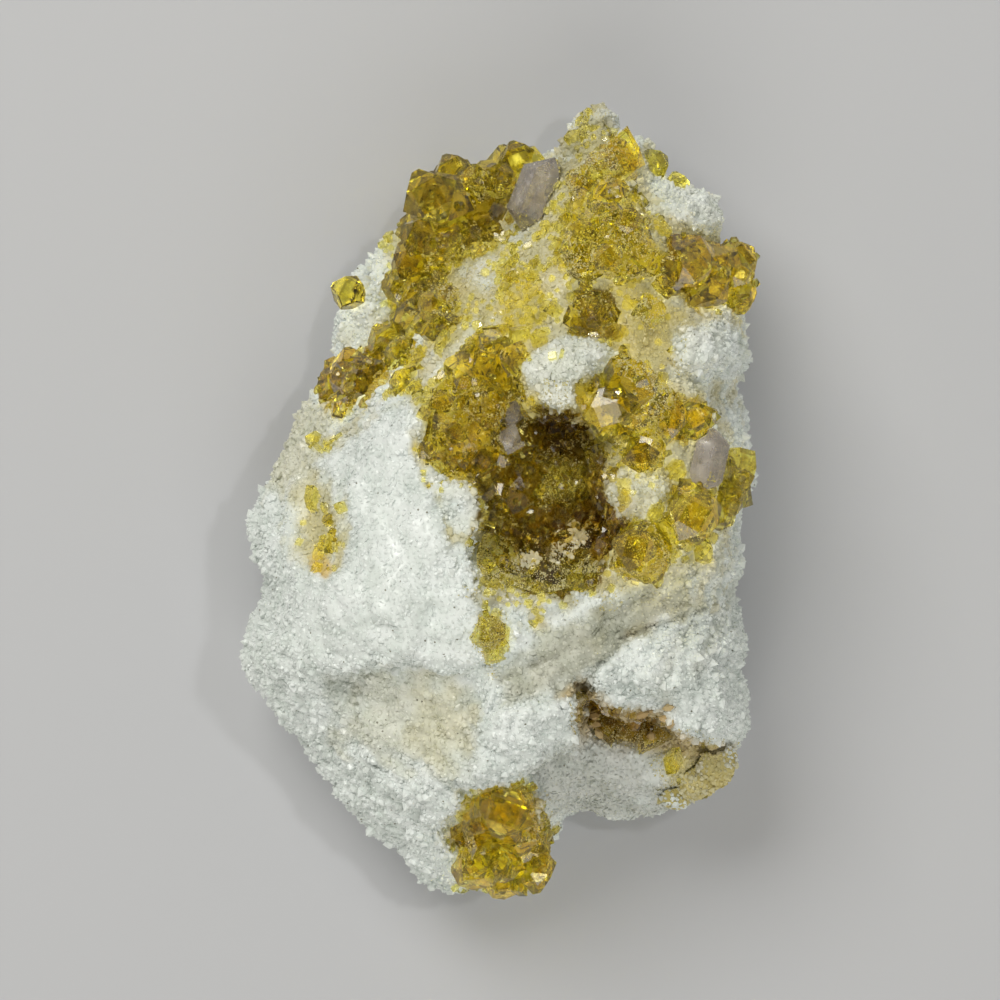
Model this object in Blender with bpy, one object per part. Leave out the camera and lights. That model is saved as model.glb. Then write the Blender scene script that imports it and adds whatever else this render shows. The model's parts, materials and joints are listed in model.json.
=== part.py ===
"""A barite specimen: golden barite crystals on a white quartz matrix, lying on its broken back.

The plan (X, Y) is the specimen's face and Z is its height above the table. Sizes are in
millimetres up to the point where a mesh is made, and the origin is the middle of the base.
"""

import math
import random
from collections import namedtuple

import bmesh
import bpy
import numpy as np
from mathutils import Euler, Matrix, Vector, noise
from mathutils.geometry import delaunay_2d_cdt

MM = 0.001
FLAT_WITHIN = math.radians(0.3)

# ---------------------------------------------------------------- driving sizes, in mm
SEED = 11
GRAIN = 1.9  # spacing of the matrix's facets in plan
EDGE_GRAIN = 2.3  # spacing of the points round the outline
EDGE_ROUND = 6.0  # how far in from the outline the shoulder reaches the top surface
ROUGHNESS = 0.34  # how far a facet's corner stands off the smooth surface
GAP = 0.30  # clearance between a crystal and the matrix that it grows from
LEAST_GAP_STEPS = ((0.15, 0, 0), (-0.15, 0, 0), (0, 0.15, 0), (0, -0.15, 0), (0, 0, 0.15))
MOST_SHELL_FACTOR = 2.0  # how much further a sharp corner moves when a skin is grown
CRUST_THICKNESS = 0.9
LEAST_UPRIGHT = 0.6  # a steep wall's lining is thickened as if the wall leaned this much
LINING_FROM_EDGE = 0.3
LINING_FLOOR = 14.0  # height that the whole lining stays above
CHIP_WELD = 0.002  # corners nearer than this are one
CLIFF_SWAY = 0.28  # how far the middle of a cliff's face wanders, as a share of its run

# Walls below the widest line: share of the outline's size, share of the rim's height, and how
# many times the outline is smoothed there.
WallRing = namedtuple("WallRing", "size height smoothing")
WALL_RINGS = (
    WallRing(0.986, 0.78, 1),
    WallRing(0.976, 0.52, 4),
    WallRing(0.948, 0.25, 8),
    WallRing(0.905, 0.0, 12),
)
WALL_ROUGHNESS = 0.34
SHOULDER_RINGS = (0.988, 0.962, 0.925)
BUMP_SPAN = 4.6  # width of the matrix's broad bumps
BUMP_HEIGHT = 1.1

# How the points of the upper side are strewn.
PLAN_REACH = 45.0
RING_SWAY = 0.25
GRID_SWAY = 0.4
GRID_FROM_EDGE = 2.2
CLIFF_FROM_EDGE = 1.0
CLIFF_POINTS_APART = 0.55
POINTS_APART = 0.8

# The outline of the matrix, clockwise from the top, as (x, y).
OUTLINE = (
    # the pointed top and the white lump to its right
    (9.0, 40.2), (10.6, 40.1), (12.3, 39.0), (12.2, 37.4), (14.0, 37.0), (15.3, 35.6),
    (16.2, 33.0), (18.3, 31.6), (20.4, 30.8), (22.0, 29.4), (22.4, 27.4), (21.9, 25.0),
    # the right side, down past the white ball
    (23.2, 23.0), (24.4, 21.0), (24.4, 18.5), (24.0, 17.0), (25.0, 14.4), (24.0, 12.4),
    (23.6, 11.2), (24.8, 9.0), (25.4, 6.6), (25.5, 4.5), (26.1, 1.8), (24.6, 0.0),
    (24.3, -2.4), (23.9, -4.6), (24.8, -6.2), (23.8, -9.2), (23.9, -12.0), (24.6, -14.8),
    (24.2, -17.2), (25.3, -19.4), (25.1, -22.4), (23.8, -25.0),
    # the low shelf under the overhang
    (23.6, -26.6), (22.6, -28.6), (19.6, -30.4), (14.4, -32.0), (11.2, -32.0), (8.8, -30.8),
    (7.0, -32.2), (4.6, -34.0),
    # the foot
    (4.4, -36.4), (2.6, -38.4), (-1.4, -39.4), (-4.8, -40.0), (-6.8, -39.2), (-8.6, -38.0),
    (-10.0, -35.6), (-13.4, -33.4), (-16.8, -30.6), (-18.4, -26.6), (-21.6, -22.6),
    (-23.4, -20.2), (-25.2, -18.6),
    # the left side
    (-26.0, -16.2), (-25.1, -13.6), (-23.8, -10.8), (-22.9, -9.2), (-24.9, -6.2), (-25.6, -4.0),
    (-24.4, -0.8), (-23.0, 2.6), (-21.2, 5.4), (-19.4, 9.0), (-17.6, 12.4), (-16.6, 15.2),
    (-16.6, 17.4), (-16.4, 20.6), (-14.6, 23.4), (-12.6, 25.4), (-9.6, 28.2),
    # the low ground under the upper left cluster
    (-8.0, 30.6), (-5.0, 32.4), (-2.0, 32.4), (1.0, 33.6), (4.4, 34.0), (6.2, 34.9),
    (7.2, 37.0), (8.2, 38.8),
)

# Height of the widest line, as (bearing from +X in degrees, z).
RIM_HEIGHTS = (
    (-165, 12.0), (-140, 12.0), (-110, 10.0), (-90, 8.5), (-72, 6.5), (-52, 7.0), (-43, 12.0),
    (-20, 12.5), (0, 13.0), (25, 15.0), (43, 19.0), (58, 15.0), (75, 12.0), (84, 8.0), (105, 6.5),
    (130, 6.5), (150, 10.0), (180, 11.5),
)

# Heights that the upper side of the matrix passes through, as (x, y, z).
MATRIX_LANDMARKS = (
    # the pointed top and the upper ridge
    (9.8, 38.5, 18.0), (9.5, 34.0, 25.0), (10.0, 28.0, 31.0), (16.0, 30.0, 24.0),
    (21.0, 27.0, 20.0), (16.0, 24.0, 30.0), (8.5, 21.5, 32.5), (5.5, 31.5, 22.0),
    # the low ground, the left lobe and the cleft between them and the ridge
    (2.0, 29.0, 14.0), (-1.0, 26.8, 13.0), (-6.0, 28.0, 9.5), (0.0, 32.0, 9.5),
    (-9.5, 23.0, 9.5), (-5.5, 22.5, 14.0), (-10.5, 18.8, 10.5), (-13.6, 21.0, 12.5),
    (-15.4, 17.6, 11.5), (-7.5, 19.0, 17.0), (-2.4, 23.4, 21.0), (2.0, 20.5, 29.5),
    (-5.5, 15.5, 27.0), (-10.5, 14.0, 21.0), (-15.2, 11.4, 17.0),
    # the white face
    (-11.0, 9.4, 29.5), (-9.0, 4.0, 33.5), (-9.5, -1.0, 34.5), (-5.5, -7.0, 35.5),
    (-9.5, -13.0, 35.0), (-3.0, -13.0, 34.5), (-20.0, 4.6, 18.5), (-17.0, -2.0, 28.5),
    (-22.0, -3.0, 21.0), (-18.0, -12.0, 30.0), (-22.5, -15.0, 22.5),
    # the rim of the hollow and the right side
    (3.0, 17.0, 33.0), (11.0, 14.0, 34.0), (18.0, 11.0, 32.0), (15.5, 3.0, 34.0),
    (21.5, 5.0, 29.5), (14.5, -5.0, 33.5), (20.5, -3.0, 30.0), (5.0, -11.5, 34.0),
    (11.5, -10.5, 33.0),
    # the ledge that overhangs the shelf
    (1.0, -20.0, 33.0), (6.5, -19.5, 32.0), (2.0, -25.5, 30.5), (13.5, -14.5, 30.0),
    (12.5, -19.0, 27.5), (21.5, -10.5, 27.0), (19.5, -17.0, 28.0), (20.5, -22.5, 25.0),
    # the lower left slope, down to the foot
    (-8.0, -20.0, 32.0), (-15.5, -20.0, 25.0), (-7.0, -26.5, 28.0), (-14.0, -26.0, 20.5),
    (-8.5, -32.0, 20.0), (-6.0, -36.5, 16.0),
)

# Ground at another level: the plan width of its cliff, its outline in plan, and the heights
# inside it.
Terrace = namedtuple("Terrace", "run outline landmarks")

LOWER_SLOPE = Terrace(  # one step down from the white face
    run=1.7,
    outline=(
        (-17.6, -17.4), (-16.4, -17.0), (-15.2, -17.4), (-13.0, -17.2), (-10.6, -16.4),
        (-9.6, -15.6), (-6.0, -15.6), (-3.0, -16.6), (-1.0, -16.4), (-0.8, -19.0),
        (-1.6, -22.0), (-2.6, -26.0), (-5.0, -27.6), (-9.0, -26.4), (-12.0, -23.0),
        (-15.6, -20.4), (-17.4, -19.0),
    ),
    landmarks=(
        (-16.5, -18.0, 23.0), (-13.0, -19.0, 26.0), (-8.0, -18.0, 30.4), (-2.5, -18.5, 31.4),
        (-4.5, -22.0, 29.4), (-10.0, -23.0, 26.0), (-4.0, -26.0, 28.0), (-13.5, -21.0, 24.4),
    ),
)
HOLLOW = Terrace(  # the crystal-lined hollow
    run=1.7,
    outline=(
        (-8.2, 9.6), (-8.2, 3.2), (-6.0, 1.6), (-3.0, 1.0), (-2.0, -2.0), (-3.2, -5.2),
        (-2.4, -8.0), (1.4, -9.6), (5.6, -10.2), (9.8, -8.4), (11.4, -5.2), (12.2, -2.4),
        (11.0, -0.4), (10.6, 1.4), (11.8, 3.6), (12.0, 6.2), (9.6, 8.2), (6.6, 9.0),
        (3.4, 9.6), (2.6, 12.0), (1.0, 15.4), (-2.0, 16.0), (-6.0, 13.6),
    ),
    landmarks=(
        (-7.4, 8.5, 32.0), (-6.6, 3.6, 31.4), (-3.4, 9.0, 30.4), (-0.5, 13.5, 31.0),
        (-2.0, 3.0, 29.0), (1.6, 7.6, 27.6), (2.6, 3.2, 26.0), (6.0, 6.4, 23.0),
        (8.6, 4.8, 23.4), (5.6, 2.6, 23.4), (11.2, 4.6, 28.0), (4.2, -1.2, 23.6),
        (8.4, -1.4, 22.6), (9.8, -4.2, 24.5), (5.0, -5.0, 23.4), (0.0, -4.2, 27.0),
        (3.0, -8.2, 29.0), (8.4, -7.2, 28.0), (-1.4, -6.8, 31.0),
    ),
)
SHELF = Terrace(  # the low lobe behind the overhanging ledge
    run=0.9,
    outline=(
        (30.0, -25.0), (24.4, -24.6), (21.4, -24.8), (18.8, -24.2), (17.2, -22.4),
        (15.4, -21.2), (14.0, -21.4), (12.2, -21.2), (10.4, -20.5), (9.2, -19.2),
        (8.3, -17.4), (7.6, -19.4), (7.8, -21.6), (7.7, -24.1), (5.6, -24.6), (4.0, -25.8),
        (2.6, -27.2), (3.6, -29.0), (4.2, -32.0), (4.2, -44.0), (30.0, -44.0),
    ),
    landmarks=(
        (9.0, -20.2, 17.5), (8.6, -23.0, 17.5), (13.0, -23.2, 17.5), (18.5, -25.6, 18.0),
        (22.6, -26.6, 17.0), (8.0, -26.6, 19.0), (14.0, -27.0, 19.0), (20.0, -28.2, 16.0),
        (6.0, -30.6, 16.5), (12.0, -30.0, 16.0),
    ),
)
POCKET = Terrace(  # the small hollow at the foot
    run=0.9,
    outline=(
        (2.6, -27.2), (0.6, -28.5), (-2.0, -28.9), (-4.0, -28.8), (-4.2, -30.2), (-5.4, -31.6),
        (-6.0, -33.6), (-4.6, -35.6), (-3.8, -38.0), (-3.4, -44.0), (4.2, -44.0), (4.2, -32.0),
        (3.6, -29.0),
    ),
    landmarks=(
        (0.0, -29.4, 19.0), (3.0, -30.0, 18.5), (-3.8, -30.8, 16.0), (-4.6, -33.2, 16.0),
        (0.0, -33.0, 17.0), (3.0, -35.0, 15.5), (-2.4, -36.6, 15.0), (1.0, -38.4, 13.0),
    ),
)
TERRACES = (LOWER_SLOPE, HOLLOW, SHELF, POCKET)

# Rounded lumps of the matrix: centre, half widths in plan, height of the foot, height of the cap.
Lump = namedtuple("Lump", "x y half_x half_y foot cap")
LUMPS = (
    Lump(7.4, 12.7, 4.2, 3.0, 32.5, 4.3),  # the white lump over the hollow
    Lump(5.8, 10.0, 2.0, 2.2, 31.0, 4.4),  # its tongue, down into the hollow
    Lump(20.6, 14.9, 4.3, 3.8, 28.5, 5.2),  # the white ball on the right
    Lump(19.0, 28.6, 3.4, 2.9, 23.0, 4.4),  # the lump on the upper right
    Lump(13.9, 0.6, 3.3, 3.7, 32.0, 3.4),  # the lump right of the hollow
    Lump(15.0, -16.5, 4.6, 3.6, 27.0, 3.0),  # the two lobes of the ledge
    Lump(21.0, -20.6, 3.8, 3.6, 23.5, 3.2),
    Lump(-22.0, -14.6, 3.4, 4.4, 19.0, 5.0),  # the lobe on the left
    Lump(-13.6, 19.4, 2.6, 5.4, 9.5, 4.0),
)
# Shallow dents, with their depth.
Dent = namedtuple("Dent", "x y half_x half_y depth")
DENTS = (
    Dent(-18.2, -3.4, 3.0, 5.0, 3.4),  # the ochre pocket in the white face
    Dent(-5.4, -22.6, 3.6, 3.4, 1.0),  # the cream patch
    Dent(9.0, 18.6, 2.6, 2.8, 3.4),  # the hollow beside the ridge
)

# ---------------------------------------------------------------- crystals
# Barite's axial ratio, from which the directions of its faces follow.
AXES = (1.63, 1.0, 1.31)
Habit = namedtuple("Habit", "base prism side_dome end_dome")
HABITS = {  # distance of each form's faces from the centre of a crystal of size one
    "block": Habit(0.40, 0.43, 0.47, 0.46),
    "table": Habit(0.24, 0.44, None, 0.40),
    "prism": Habit(0.34, 0.36, None, 0.50),
}
STRETCH = {"block": (1.0, 1.0, 1.0), "table": (1.1, 1.0, 1.0), "prism": (1.5, 0.9, 0.9)}

# x, y: place in plan. rise: height of its centre over the ground. turn, lean: degrees.
Crystal = namedtuple("Crystal", "x y rise size habit turn lean")

CLUSTERS = {
    "barite_cluster_upper_left": (
        Crystal(-5.7, 29.5, 6.5, 6.4, "block", 25, 30),
        Crystal(-4.4, 32.2, 4.0, 4.2, "block", 60, 20),
        Crystal(-2.5, 31.2, 5.5, 4.8, "table", 10, 62),
        Crystal(-0.5, 32.0, 4.2, 4.4, "block", 40, 40),
        Crystal(-2.4, 29.2, 4.6, 5.2, "table", 75, 55),
        Crystal(0.8, 33.4, 3.6, 4.2, "block", 15, 35),
        Crystal(2.8, 33.8, 3.0, 3.8, "prism", -20, 20),
        Crystal(-6.2, 26.6, 5.2, 5.6, "block", 50, 15),
        Crystal(-7.8, 27.0, 3.4, 4.6, "block", 5, 45),
        Crystal(-8.3, 23.6, 4.2, 5.0, "block", 35, 25),
        Crystal(-5.8, 23.9, 2.2, 4.8, "table", 65, 40),
        Crystal(-9.8, 21.2, 1.6, 4.0, "block", 80, 30),
        Crystal(-2.8, 25.9, 1.6, 3.6, "block", 45, 35),
        Crystal(-7.6, 20.6, 2.0, 4.6, "block", 20, 20),
        Crystal(-8.4, 17.9, 1.8, 4.4, "table", 75, 30),
    ),
    "barite_cluster_left_flank": (
        Crystal(-13.2, 11.7, 0.6, 4.8, "block", 20, 30),
        Crystal(-14.6, 11.4, 1.2, 4.4, "block", 70, 20),
        Crystal(-16.4, 11.6, 1.0, 3.8, "table", 40, 45),
        Crystal(-14.9, 13.0, 2.2, 4.0, "block", 10, 20),
        Crystal(-15.4, 9.2, 0.5, 3.2, "block", 35, 10),
    ),
    "barite_cluster_upper_ridge": (
        Crystal(12.1, 33.6, 1.6, 4.8, "prism", 80, 20),
        Crystal(10.2, 32.6, 1.0, 3.8, "block", 30, 30),
        Crystal(8.6, 31.4, 1.0, 3.8, "block", 65, 15),
        Crystal(10.8, 30.2, 0.8, 3.6, "table", 20, 35),
    ),
    "barite_cluster_middle": (
        Crystal(10.2, 27.0, 0.8, 4.4, "block", 15, 25),
        Crystal(12.6, 26.2, 0.9, 4.6, "block", 70, 30),
        Crystal(8.2, 25.2, 0.6, 4.0, "table", 40, 40),
        Crystal(11.0, 24.2, 0.8, 4.6, "block", 35, 15),
        Crystal(13.8, 23.8, 0.7, 4.2, "block", 55, 20),
        Crystal(8.6, 23.0, 0.4, 3.6, "block", 10, 30),
    ),
    "barite_cluster_right_shoulder": (
        Crystal(18.6, 23.2, 1.6, 6.0, "block", 30, 35),
        Crystal(17.2, 22.0, 0.8, 4.2, "block", 75, 20),
        Crystal(20.4, 21.2, 1.8, 5.2, "prism", 55, 25),
        Crystal(21.9, 22.8, 2.8, 5.0, "block", 15, 40),
        Crystal(23.7, 23.7, 4.0, 4.0, "block", 40, 20),
        Crystal(23.8, 20.8, 2.0, 3.8, "table", 70, 45),
    ),
    "barite_cluster_ridge_hollow": (
        Crystal(8.8, 19.3, 0.6, 4.0, "block", 25, 20),
        Crystal(10.4, 17.8, 0.5, 3.8, "block", 60, 35),
        Crystal(7.6, 17.6, 0.5, 3.4, "table", 10, 40),
    ),
    "barite_cluster_hollow_right": (
        Crystal(12.6, 11.0, 1.6, 5.8, "block", 20, 25),
        Crystal(15.0, 9.6, 0.8, 4.4, "block", 60, 20),
        Crystal(13.2, 7.4, 0.6, 4.6, "block", 35, 30),
        Crystal(16.8, 8.0, 0.7, 4.0, "prism", 85, 20),
        Crystal(19.0, 7.7, 0.7, 3.8, "table", 30, 15),
        Crystal(14.2, 4.7, 1.0, 4.2, "block", 15, 30),
    ),
    "barite_cluster_right_rim": (
        Crystal(13.9, -5.1, 1.2, 6.2, "block", 30, 20),
        Crystal(16.4, -3.2, 0.7, 4.0, "table", 60, 30),
        Crystal(18.9, -1.4, 1.5, 5.6, "block", 10, 25),
    ),
    "barite_cluster_right_edge": (
        Crystal(23.4, 3.0, 1.4, 4.2, "table", 40, 35),
        Crystal(22.6, 0.6, 1.2, 3.8, "block", 15, 20),
        Crystal(21.8, -1.6, 0.8, 3.0, "block", 60, 30),
    ),
    "barite_cluster_foot": (
        Crystal(0.2, -31.3, 3.6, 6.4, "block", 35, 25),
        Crystal(-1.5, -32.8, 2.8, 4.8, "prism", 70, 30),
        Crystal(1.8, -33.4, 2.4, 4.4, "block", 15, 20),
        Crystal(-2.4, -36.8, 2.6, 4.8, "block", 50, 30),
        Crystal(0.2, -36.4, 2.6, 4.4, "table", 20, 50),
        Crystal(3.2, -37.2, 3.2, 4.6, "block", 12, 10),
        Crystal(0.3, -38.5, 2.8, 3.6, "block", 60, 30),
        Crystal(3.0, -35.0, 1.6, 3.8, "block", 70, 20),
    ),
    "barite_cluster_lip": (
        Crystal(-1.2, -13.2, 0.3, 3.4, "block", 20, 30),
        Crystal(-0.4, -14.8, 0.2, 2.8, "table", 60, 20),
    ),
    "barite_cluster_shelf_corner": (
        Crystal(21.6, -26.6, 0.6, 4.4, "block", 20, 15),
        Crystal(19.8, -28.0, 0.6, 4.2, "block", 65, 25),
        Crystal(17.8, -29.6, 0.8, 3.4, "table", 30, 30),
    ),
    "barite_cluster_undercut": (
        Crystal(9.2, -21.4, 0.5, 3.2, "prism", 75, 30),
        Crystal(10.8, -22.8, 0.6, 3.2, "prism", 100, 40),
        Crystal(13.0, -23.0, 0.5, 3.4, "block", 40, 20),
        Crystal(15.2, -23.6, 0.6, 3.2, "prism", 60, 35),
    ),
    "barite_crystal_saddle": (Crystal(-5.2, 19.4, 1.2, 3.8, "block", 50, 35),),
    "barite_crystal_brow": (Crystal(-6.0, 16.8, 0.6, 3.6, "block", 10, 15),),
    "barite_crystal_terrace": (Crystal(-11.4, 15.8, 1.4, 3.6, "block", 35, 25),),
    "barite_crystal_slope": (Crystal(-9.7, 14.2, 0.8, 3.8, "table", 60, 50),),
    "barite_crystal_left_edge": (Crystal(-15.2, 20.8, 2.4, 3.4, "block", 65, 20),),
    "barite_crystal_top_edge": (Crystal(15.5, 33.6, 1.6, 2.8, "block", 30, 25),),
    "barite_crystal_shoulder": (Crystal(17.8, 31.5, 1.4, 2.4, "block", 10, 20),),
    "barite_crystal_lower_right": (Crystal(19.8, -5.2, 0.4, 2.8, "block", 50, 20),),
    "barite_crystal_pale": (Crystal(14.8, 18.6, 0.6, 3.2, "block", 10, 25),),
    "barite_crystal_notch": (Crystal(-9.4, 11.4, 0.3, 3.2, "table", 60, 15),),
}

# The large crystals of the hollow's crust; smaller ones fill in between them.
HOLLOW_CRYSTALS = (
    Crystal(-0.4, 13.6, 1.6, 5.4, "block", 25, 20),
    Crystal(-3.2, 12.4, 1.0, 4.4, "block", 60, 30),
    Crystal(-1.6, 9.4, 1.0, 4.6, "block", 10, 25),
    Crystal(-5.2, 8.0, 0.8, 4.2, "table", 40, 30),
    Crystal(1.4, 6.4, 1.2, 4.6, "block", 75, 20),
    Crystal(3.8, 1.8, 1.8, 5.0, "table", 20, 35),
    Crystal(6.6, 2.8, 1.4, 4.2, "block", 50, 30),
    Crystal(1.0, -0.4, 1.2, 4.6, "block", 30, 25),
    Crystal(2.8, -5.4, 1.4, 5.4, "prism", 150, 30),
    Crystal(6.6, -5.8, 1.2, 5.0, "table", 110, 45),
    Crystal(9.6, -4.4, 0.8, 4.2, "block", 15, 20),
    Crystal(4.6, -8.2, 0.6, 4.2, "block", 70, 25),
)
CRUST_SPACING = 3.3
CRUST_SIZES = (2.8, 4.0)
CRUST_RISE = 0.6
CRUST_FROM_EDGE = 1.2

# Pale lilac crystals: x, y, rise, width, length, height, turn, lean.
Pebble = namedtuple("Pebble", "x y rise width length height turn lean")
PALE_CRYSTALS = {
    "pale_crystal_right": Pebble(20.6, 3.8, 0.5, 3.9, 6.4, 4.0, -12, 12),
    "pale_crystal_upper": Pebble(4.0, 30.4, 1.6, 5.2, 8.4, 5.6, -22, -28),
}
PALE_PRISM_SIDES = 6
PALE_PRISM_REACH = 0.28  # how far the six sides reach each way, for a length of one

MATERIALS = {
    "quartz": ((0.86, 0.88, 0.85), 0.45),
    "barite": ((0.72, 0.52, 0.07), 0.18),
    "pale_crystal": ((0.66, 0.62, 0.62), 0.25),
}


# ---------------------------------------------------------------- plane geometry
def resampled(outline, spacing):
    """Points about one spacing apart along a closed outline."""
    corners = np.array(outline, float)
    following = np.roll(corners, -1, axis=0)
    found = []
    for start, end in zip(corners, following):
        steps = max(1, round(float(np.linalg.norm(end - start)) / spacing))
        found += [start + (end - start) * k / steps for k in range(steps)]
    return np.array(found)


def inward_from(outline, points):
    """Unit directions into the outline, at points that run along it in order."""
    tangent = np.roll(points, -1, axis=0) - np.roll(points, 1, axis=0)
    across = np.stack([-tangent[:, 1], tangent[:, 0]], axis=1)
    across /= np.linalg.norm(across, axis=1)[:, None]
    small_step = 0.2
    turned_in = inside(outline, points + small_step * across)
    return np.where(turned_in[:, None], across, -across)


def smoothed(ring, times):
    """A closed ring of points with its corners eased."""
    for _ in range(times):
        ring = (np.roll(ring, 1, axis=0) + 2.0 * ring + np.roll(ring, -1, axis=0)) / 4.0
    return ring


def inside(outline, points):
    """Which of the points lie inside the closed outline."""
    ring = np.array(outline, float)
    result = np.zeros(len(points), bool)
    for (x0, y0), (x1, y1) in zip(ring, np.roll(ring, -1, axis=0)):
        if y0 == y1:
            continue
        spans = (y0 > points[:, 1]) != (y1 > points[:, 1])
        crossing = x0 + (points[:, 1] - y0) * (x1 - x0) / (y1 - y0)
        result ^= spans & (points[:, 0] < crossing)
    return result


def distance_to(outline, points):
    """Distance of each point from the closed outline."""
    ring = np.array(outline, float)
    nearest = np.full(len(points), np.inf)
    for start, end in zip(ring, np.roll(ring, -1, axis=0)):
        along = end - start
        share = np.clip((points - start) @ along / (along @ along), 0.0, 1.0)
        foot = start + share[:, None] * along
        nearest = np.minimum(nearest, np.linalg.norm(points - foot, axis=1))
    return nearest


def lattice(spacing, reach):
    """A triangular lattice of points over a square from -reach to reach."""
    row_height = spacing * math.sqrt(0.75)
    rows = int(reach / row_height)
    columns = int(reach / spacing)
    return np.array([
        ((column + 0.5 * (row % 2)) * spacing, row * row_height)
        for row in range(-rows, rows + 1)
        for column in range(-columns, columns + 1)
    ])


# ---------------------------------------------------------------- the ground's height
def plate_kernel(first, second):
    """The thin plate's r squared times log r, for every pair of points."""
    squared = ((first[:, None, :] - second[None, :, :]) ** 2).sum(axis=2)
    return 0.5 * squared * np.log(squared + 1e-12)


def bent_sheet(landmarks):
    """A function giving the height of the thin plate through the landmarks."""
    marks = np.array(landmarks, float)
    plan, heights = marks[:, :2], marks[:, 2]
    flat = np.hstack([np.ones((len(marks), 1)), plan])
    system = np.block([[plate_kernel(plan, plan), flat], [flat.T, np.zeros((3, 3))]])
    weights = np.linalg.solve(system, np.append(heights, np.zeros(3)))

    def height(points):
        plane = np.hstack([np.ones((len(points), 1)), points])
        return plate_kernel(points, plan) @ weights[:-3] + plane @ weights[-3:]

    return height


MATRIX_SHEET = bent_sheet(MATRIX_LANDMARKS)
TERRACE_SHEETS = [bent_sheet(terrace.landmarks) for terrace in TERRACES]


def rim_height(points):
    """Height of the widest line, in the direction of each point."""
    bearings = np.degrees(np.arctan2(points[:, 1], points[:, 0]))
    known = np.array(RIM_HEIGHTS)
    return np.interp(bearings, known[:, 0], known[:, 1], period=360)


def bumps(points):
    """Smooth noise over the plan, between about -1 and 1."""
    return np.array([noise.noise(Vector((x, y, 0.0)) / BUMP_SPAN) for x, y in points])


def ground(points, on_top_of_cliffs=False):
    """Height of the matrix's upper side over points in plan.

    With on_top_of_cliffs, a point takes the level that surrounds a terrace and not its floor.
    """
    points = np.atleast_2d(np.array(points, float))
    height = MATRIX_SHEET(points) + BUMP_HEIGHT * bumps(points)
    for dent in DENTS:
        across = ((points[:, 0] - dent.x) / dent.half_x) ** 2
        across += ((points[:, 1] - dent.y) / dent.half_y) ** 2
        height -= dent.depth * np.clip(1.0 - across, 0.0, 1.0) ** 0.8
    if not on_top_of_cliffs:
        for terrace, sheet in zip(TERRACES, TERRACE_SHEETS):
            within = inside(terrace.outline, points)
            height[within] = sheet(points[within])
    for lump in LUMPS:
        across = ((points[:, 0] - lump.x) / lump.half_x) ** 2
        across += ((points[:, 1] - lump.y) / lump.half_y) ** 2
        cap = lump.foot + lump.cap * np.sqrt(np.clip(1.0 - across, 0.0, 1.0))
        height = np.where(across < 1.0, np.maximum(height, cap), height)
    depth = np.where(inside(OUTLINE, points), distance_to(OUTLINE, points), 0.0)
    shoulder = 1.0 - np.clip(depth / EDGE_ROUND, 0.0, 1.0)
    rim = rim_height(points)
    return rim + (height - rim) * np.sqrt(1.0 - shoulder**2)


# ---------------------------------------------------------------- meshes
def new_object(name, vertices_mm, faces):
    mesh = bpy.data.meshes.new(name)
    mesh.from_pydata([tuple(v * MM for v in vertex) for vertex in vertices_mm], [], faces)
    return link(name, mesh)


def link(name, mesh):
    thing = bpy.data.objects.new(name, mesh)
    bpy.context.scene.collection.objects.link(thing)
    return thing


def grown(source, name, distance_mm):
    """A copy of source whose skin lies further out."""
    skin = bmesh.new()
    skin.from_mesh(source.data)
    skin.normal_update()
    steps = [v.normal * min(v.calc_shell_factor(), MOST_SHELL_FACTOR) for v in skin.verts]
    for vertex, step in zip(skin.verts, steps):
        vertex.co += step * distance_mm * MM
    mesh = bpy.data.meshes.new(name)
    skin.to_mesh(mesh)
    skin.free()
    return link(name, mesh)


def shifted(source, name, step_mm):
    """A copy of source a step away."""
    mesh = source.data.copy()
    mesh.transform(Matrix.Translation(Vector(step_mm) * MM))
    return link(name, mesh)


def combine(target, operation, others):
    """Joins or cuts target with others by exact Booleans."""
    for other in others:
        boolean = target.modifiers.new(operation.lower(), "BOOLEAN")
        boolean.operation = operation
        boolean.solver = "EXACT"
        boolean.object = other
    bpy.context.view_layer.update()
    evaluated = target.evaluated_get(bpy.context.evaluated_depsgraph_get())
    mesh = bpy.data.meshes.new_from_object(evaluated)
    target.modifiers.clear()
    old, target.data = target.data, mesh
    bpy.data.meshes.remove(old)
    return target


def merge_flat_faces(thing):
    """Makes one face of neighbours that lie in a plane."""
    skin = bmesh.new()
    skin.from_mesh(thing.data)
    bmesh.ops.dissolve_limit(
        skin, angle_limit=FLAT_WITHIN, verts=skin.verts, edges=skin.edges
    )
    skin.to_mesh(thing.data)
    skin.free()
    return thing


def discard(things):
    for thing in things:
        bpy.data.objects.remove(thing)


def finish(thing, material):
    """Gives a faceted thing its one material."""
    thing.data.materials.clear()
    thing.data.materials.append(material)
    thing.data.shade_flat()
    return thing


def make_material(name):
    colour, roughness = MATERIALS[name]
    material = bpy.data.materials.new(name)
    material.use_nodes = True
    shader = material.node_tree.nodes["Principled BSDF"]
    shader.inputs["Base Color"].default_value = (*colour, 1.0)
    shader.inputs["Roughness"].default_value = roughness
    shader.inputs["Metallic"].default_value = 0.0
    return material


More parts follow.
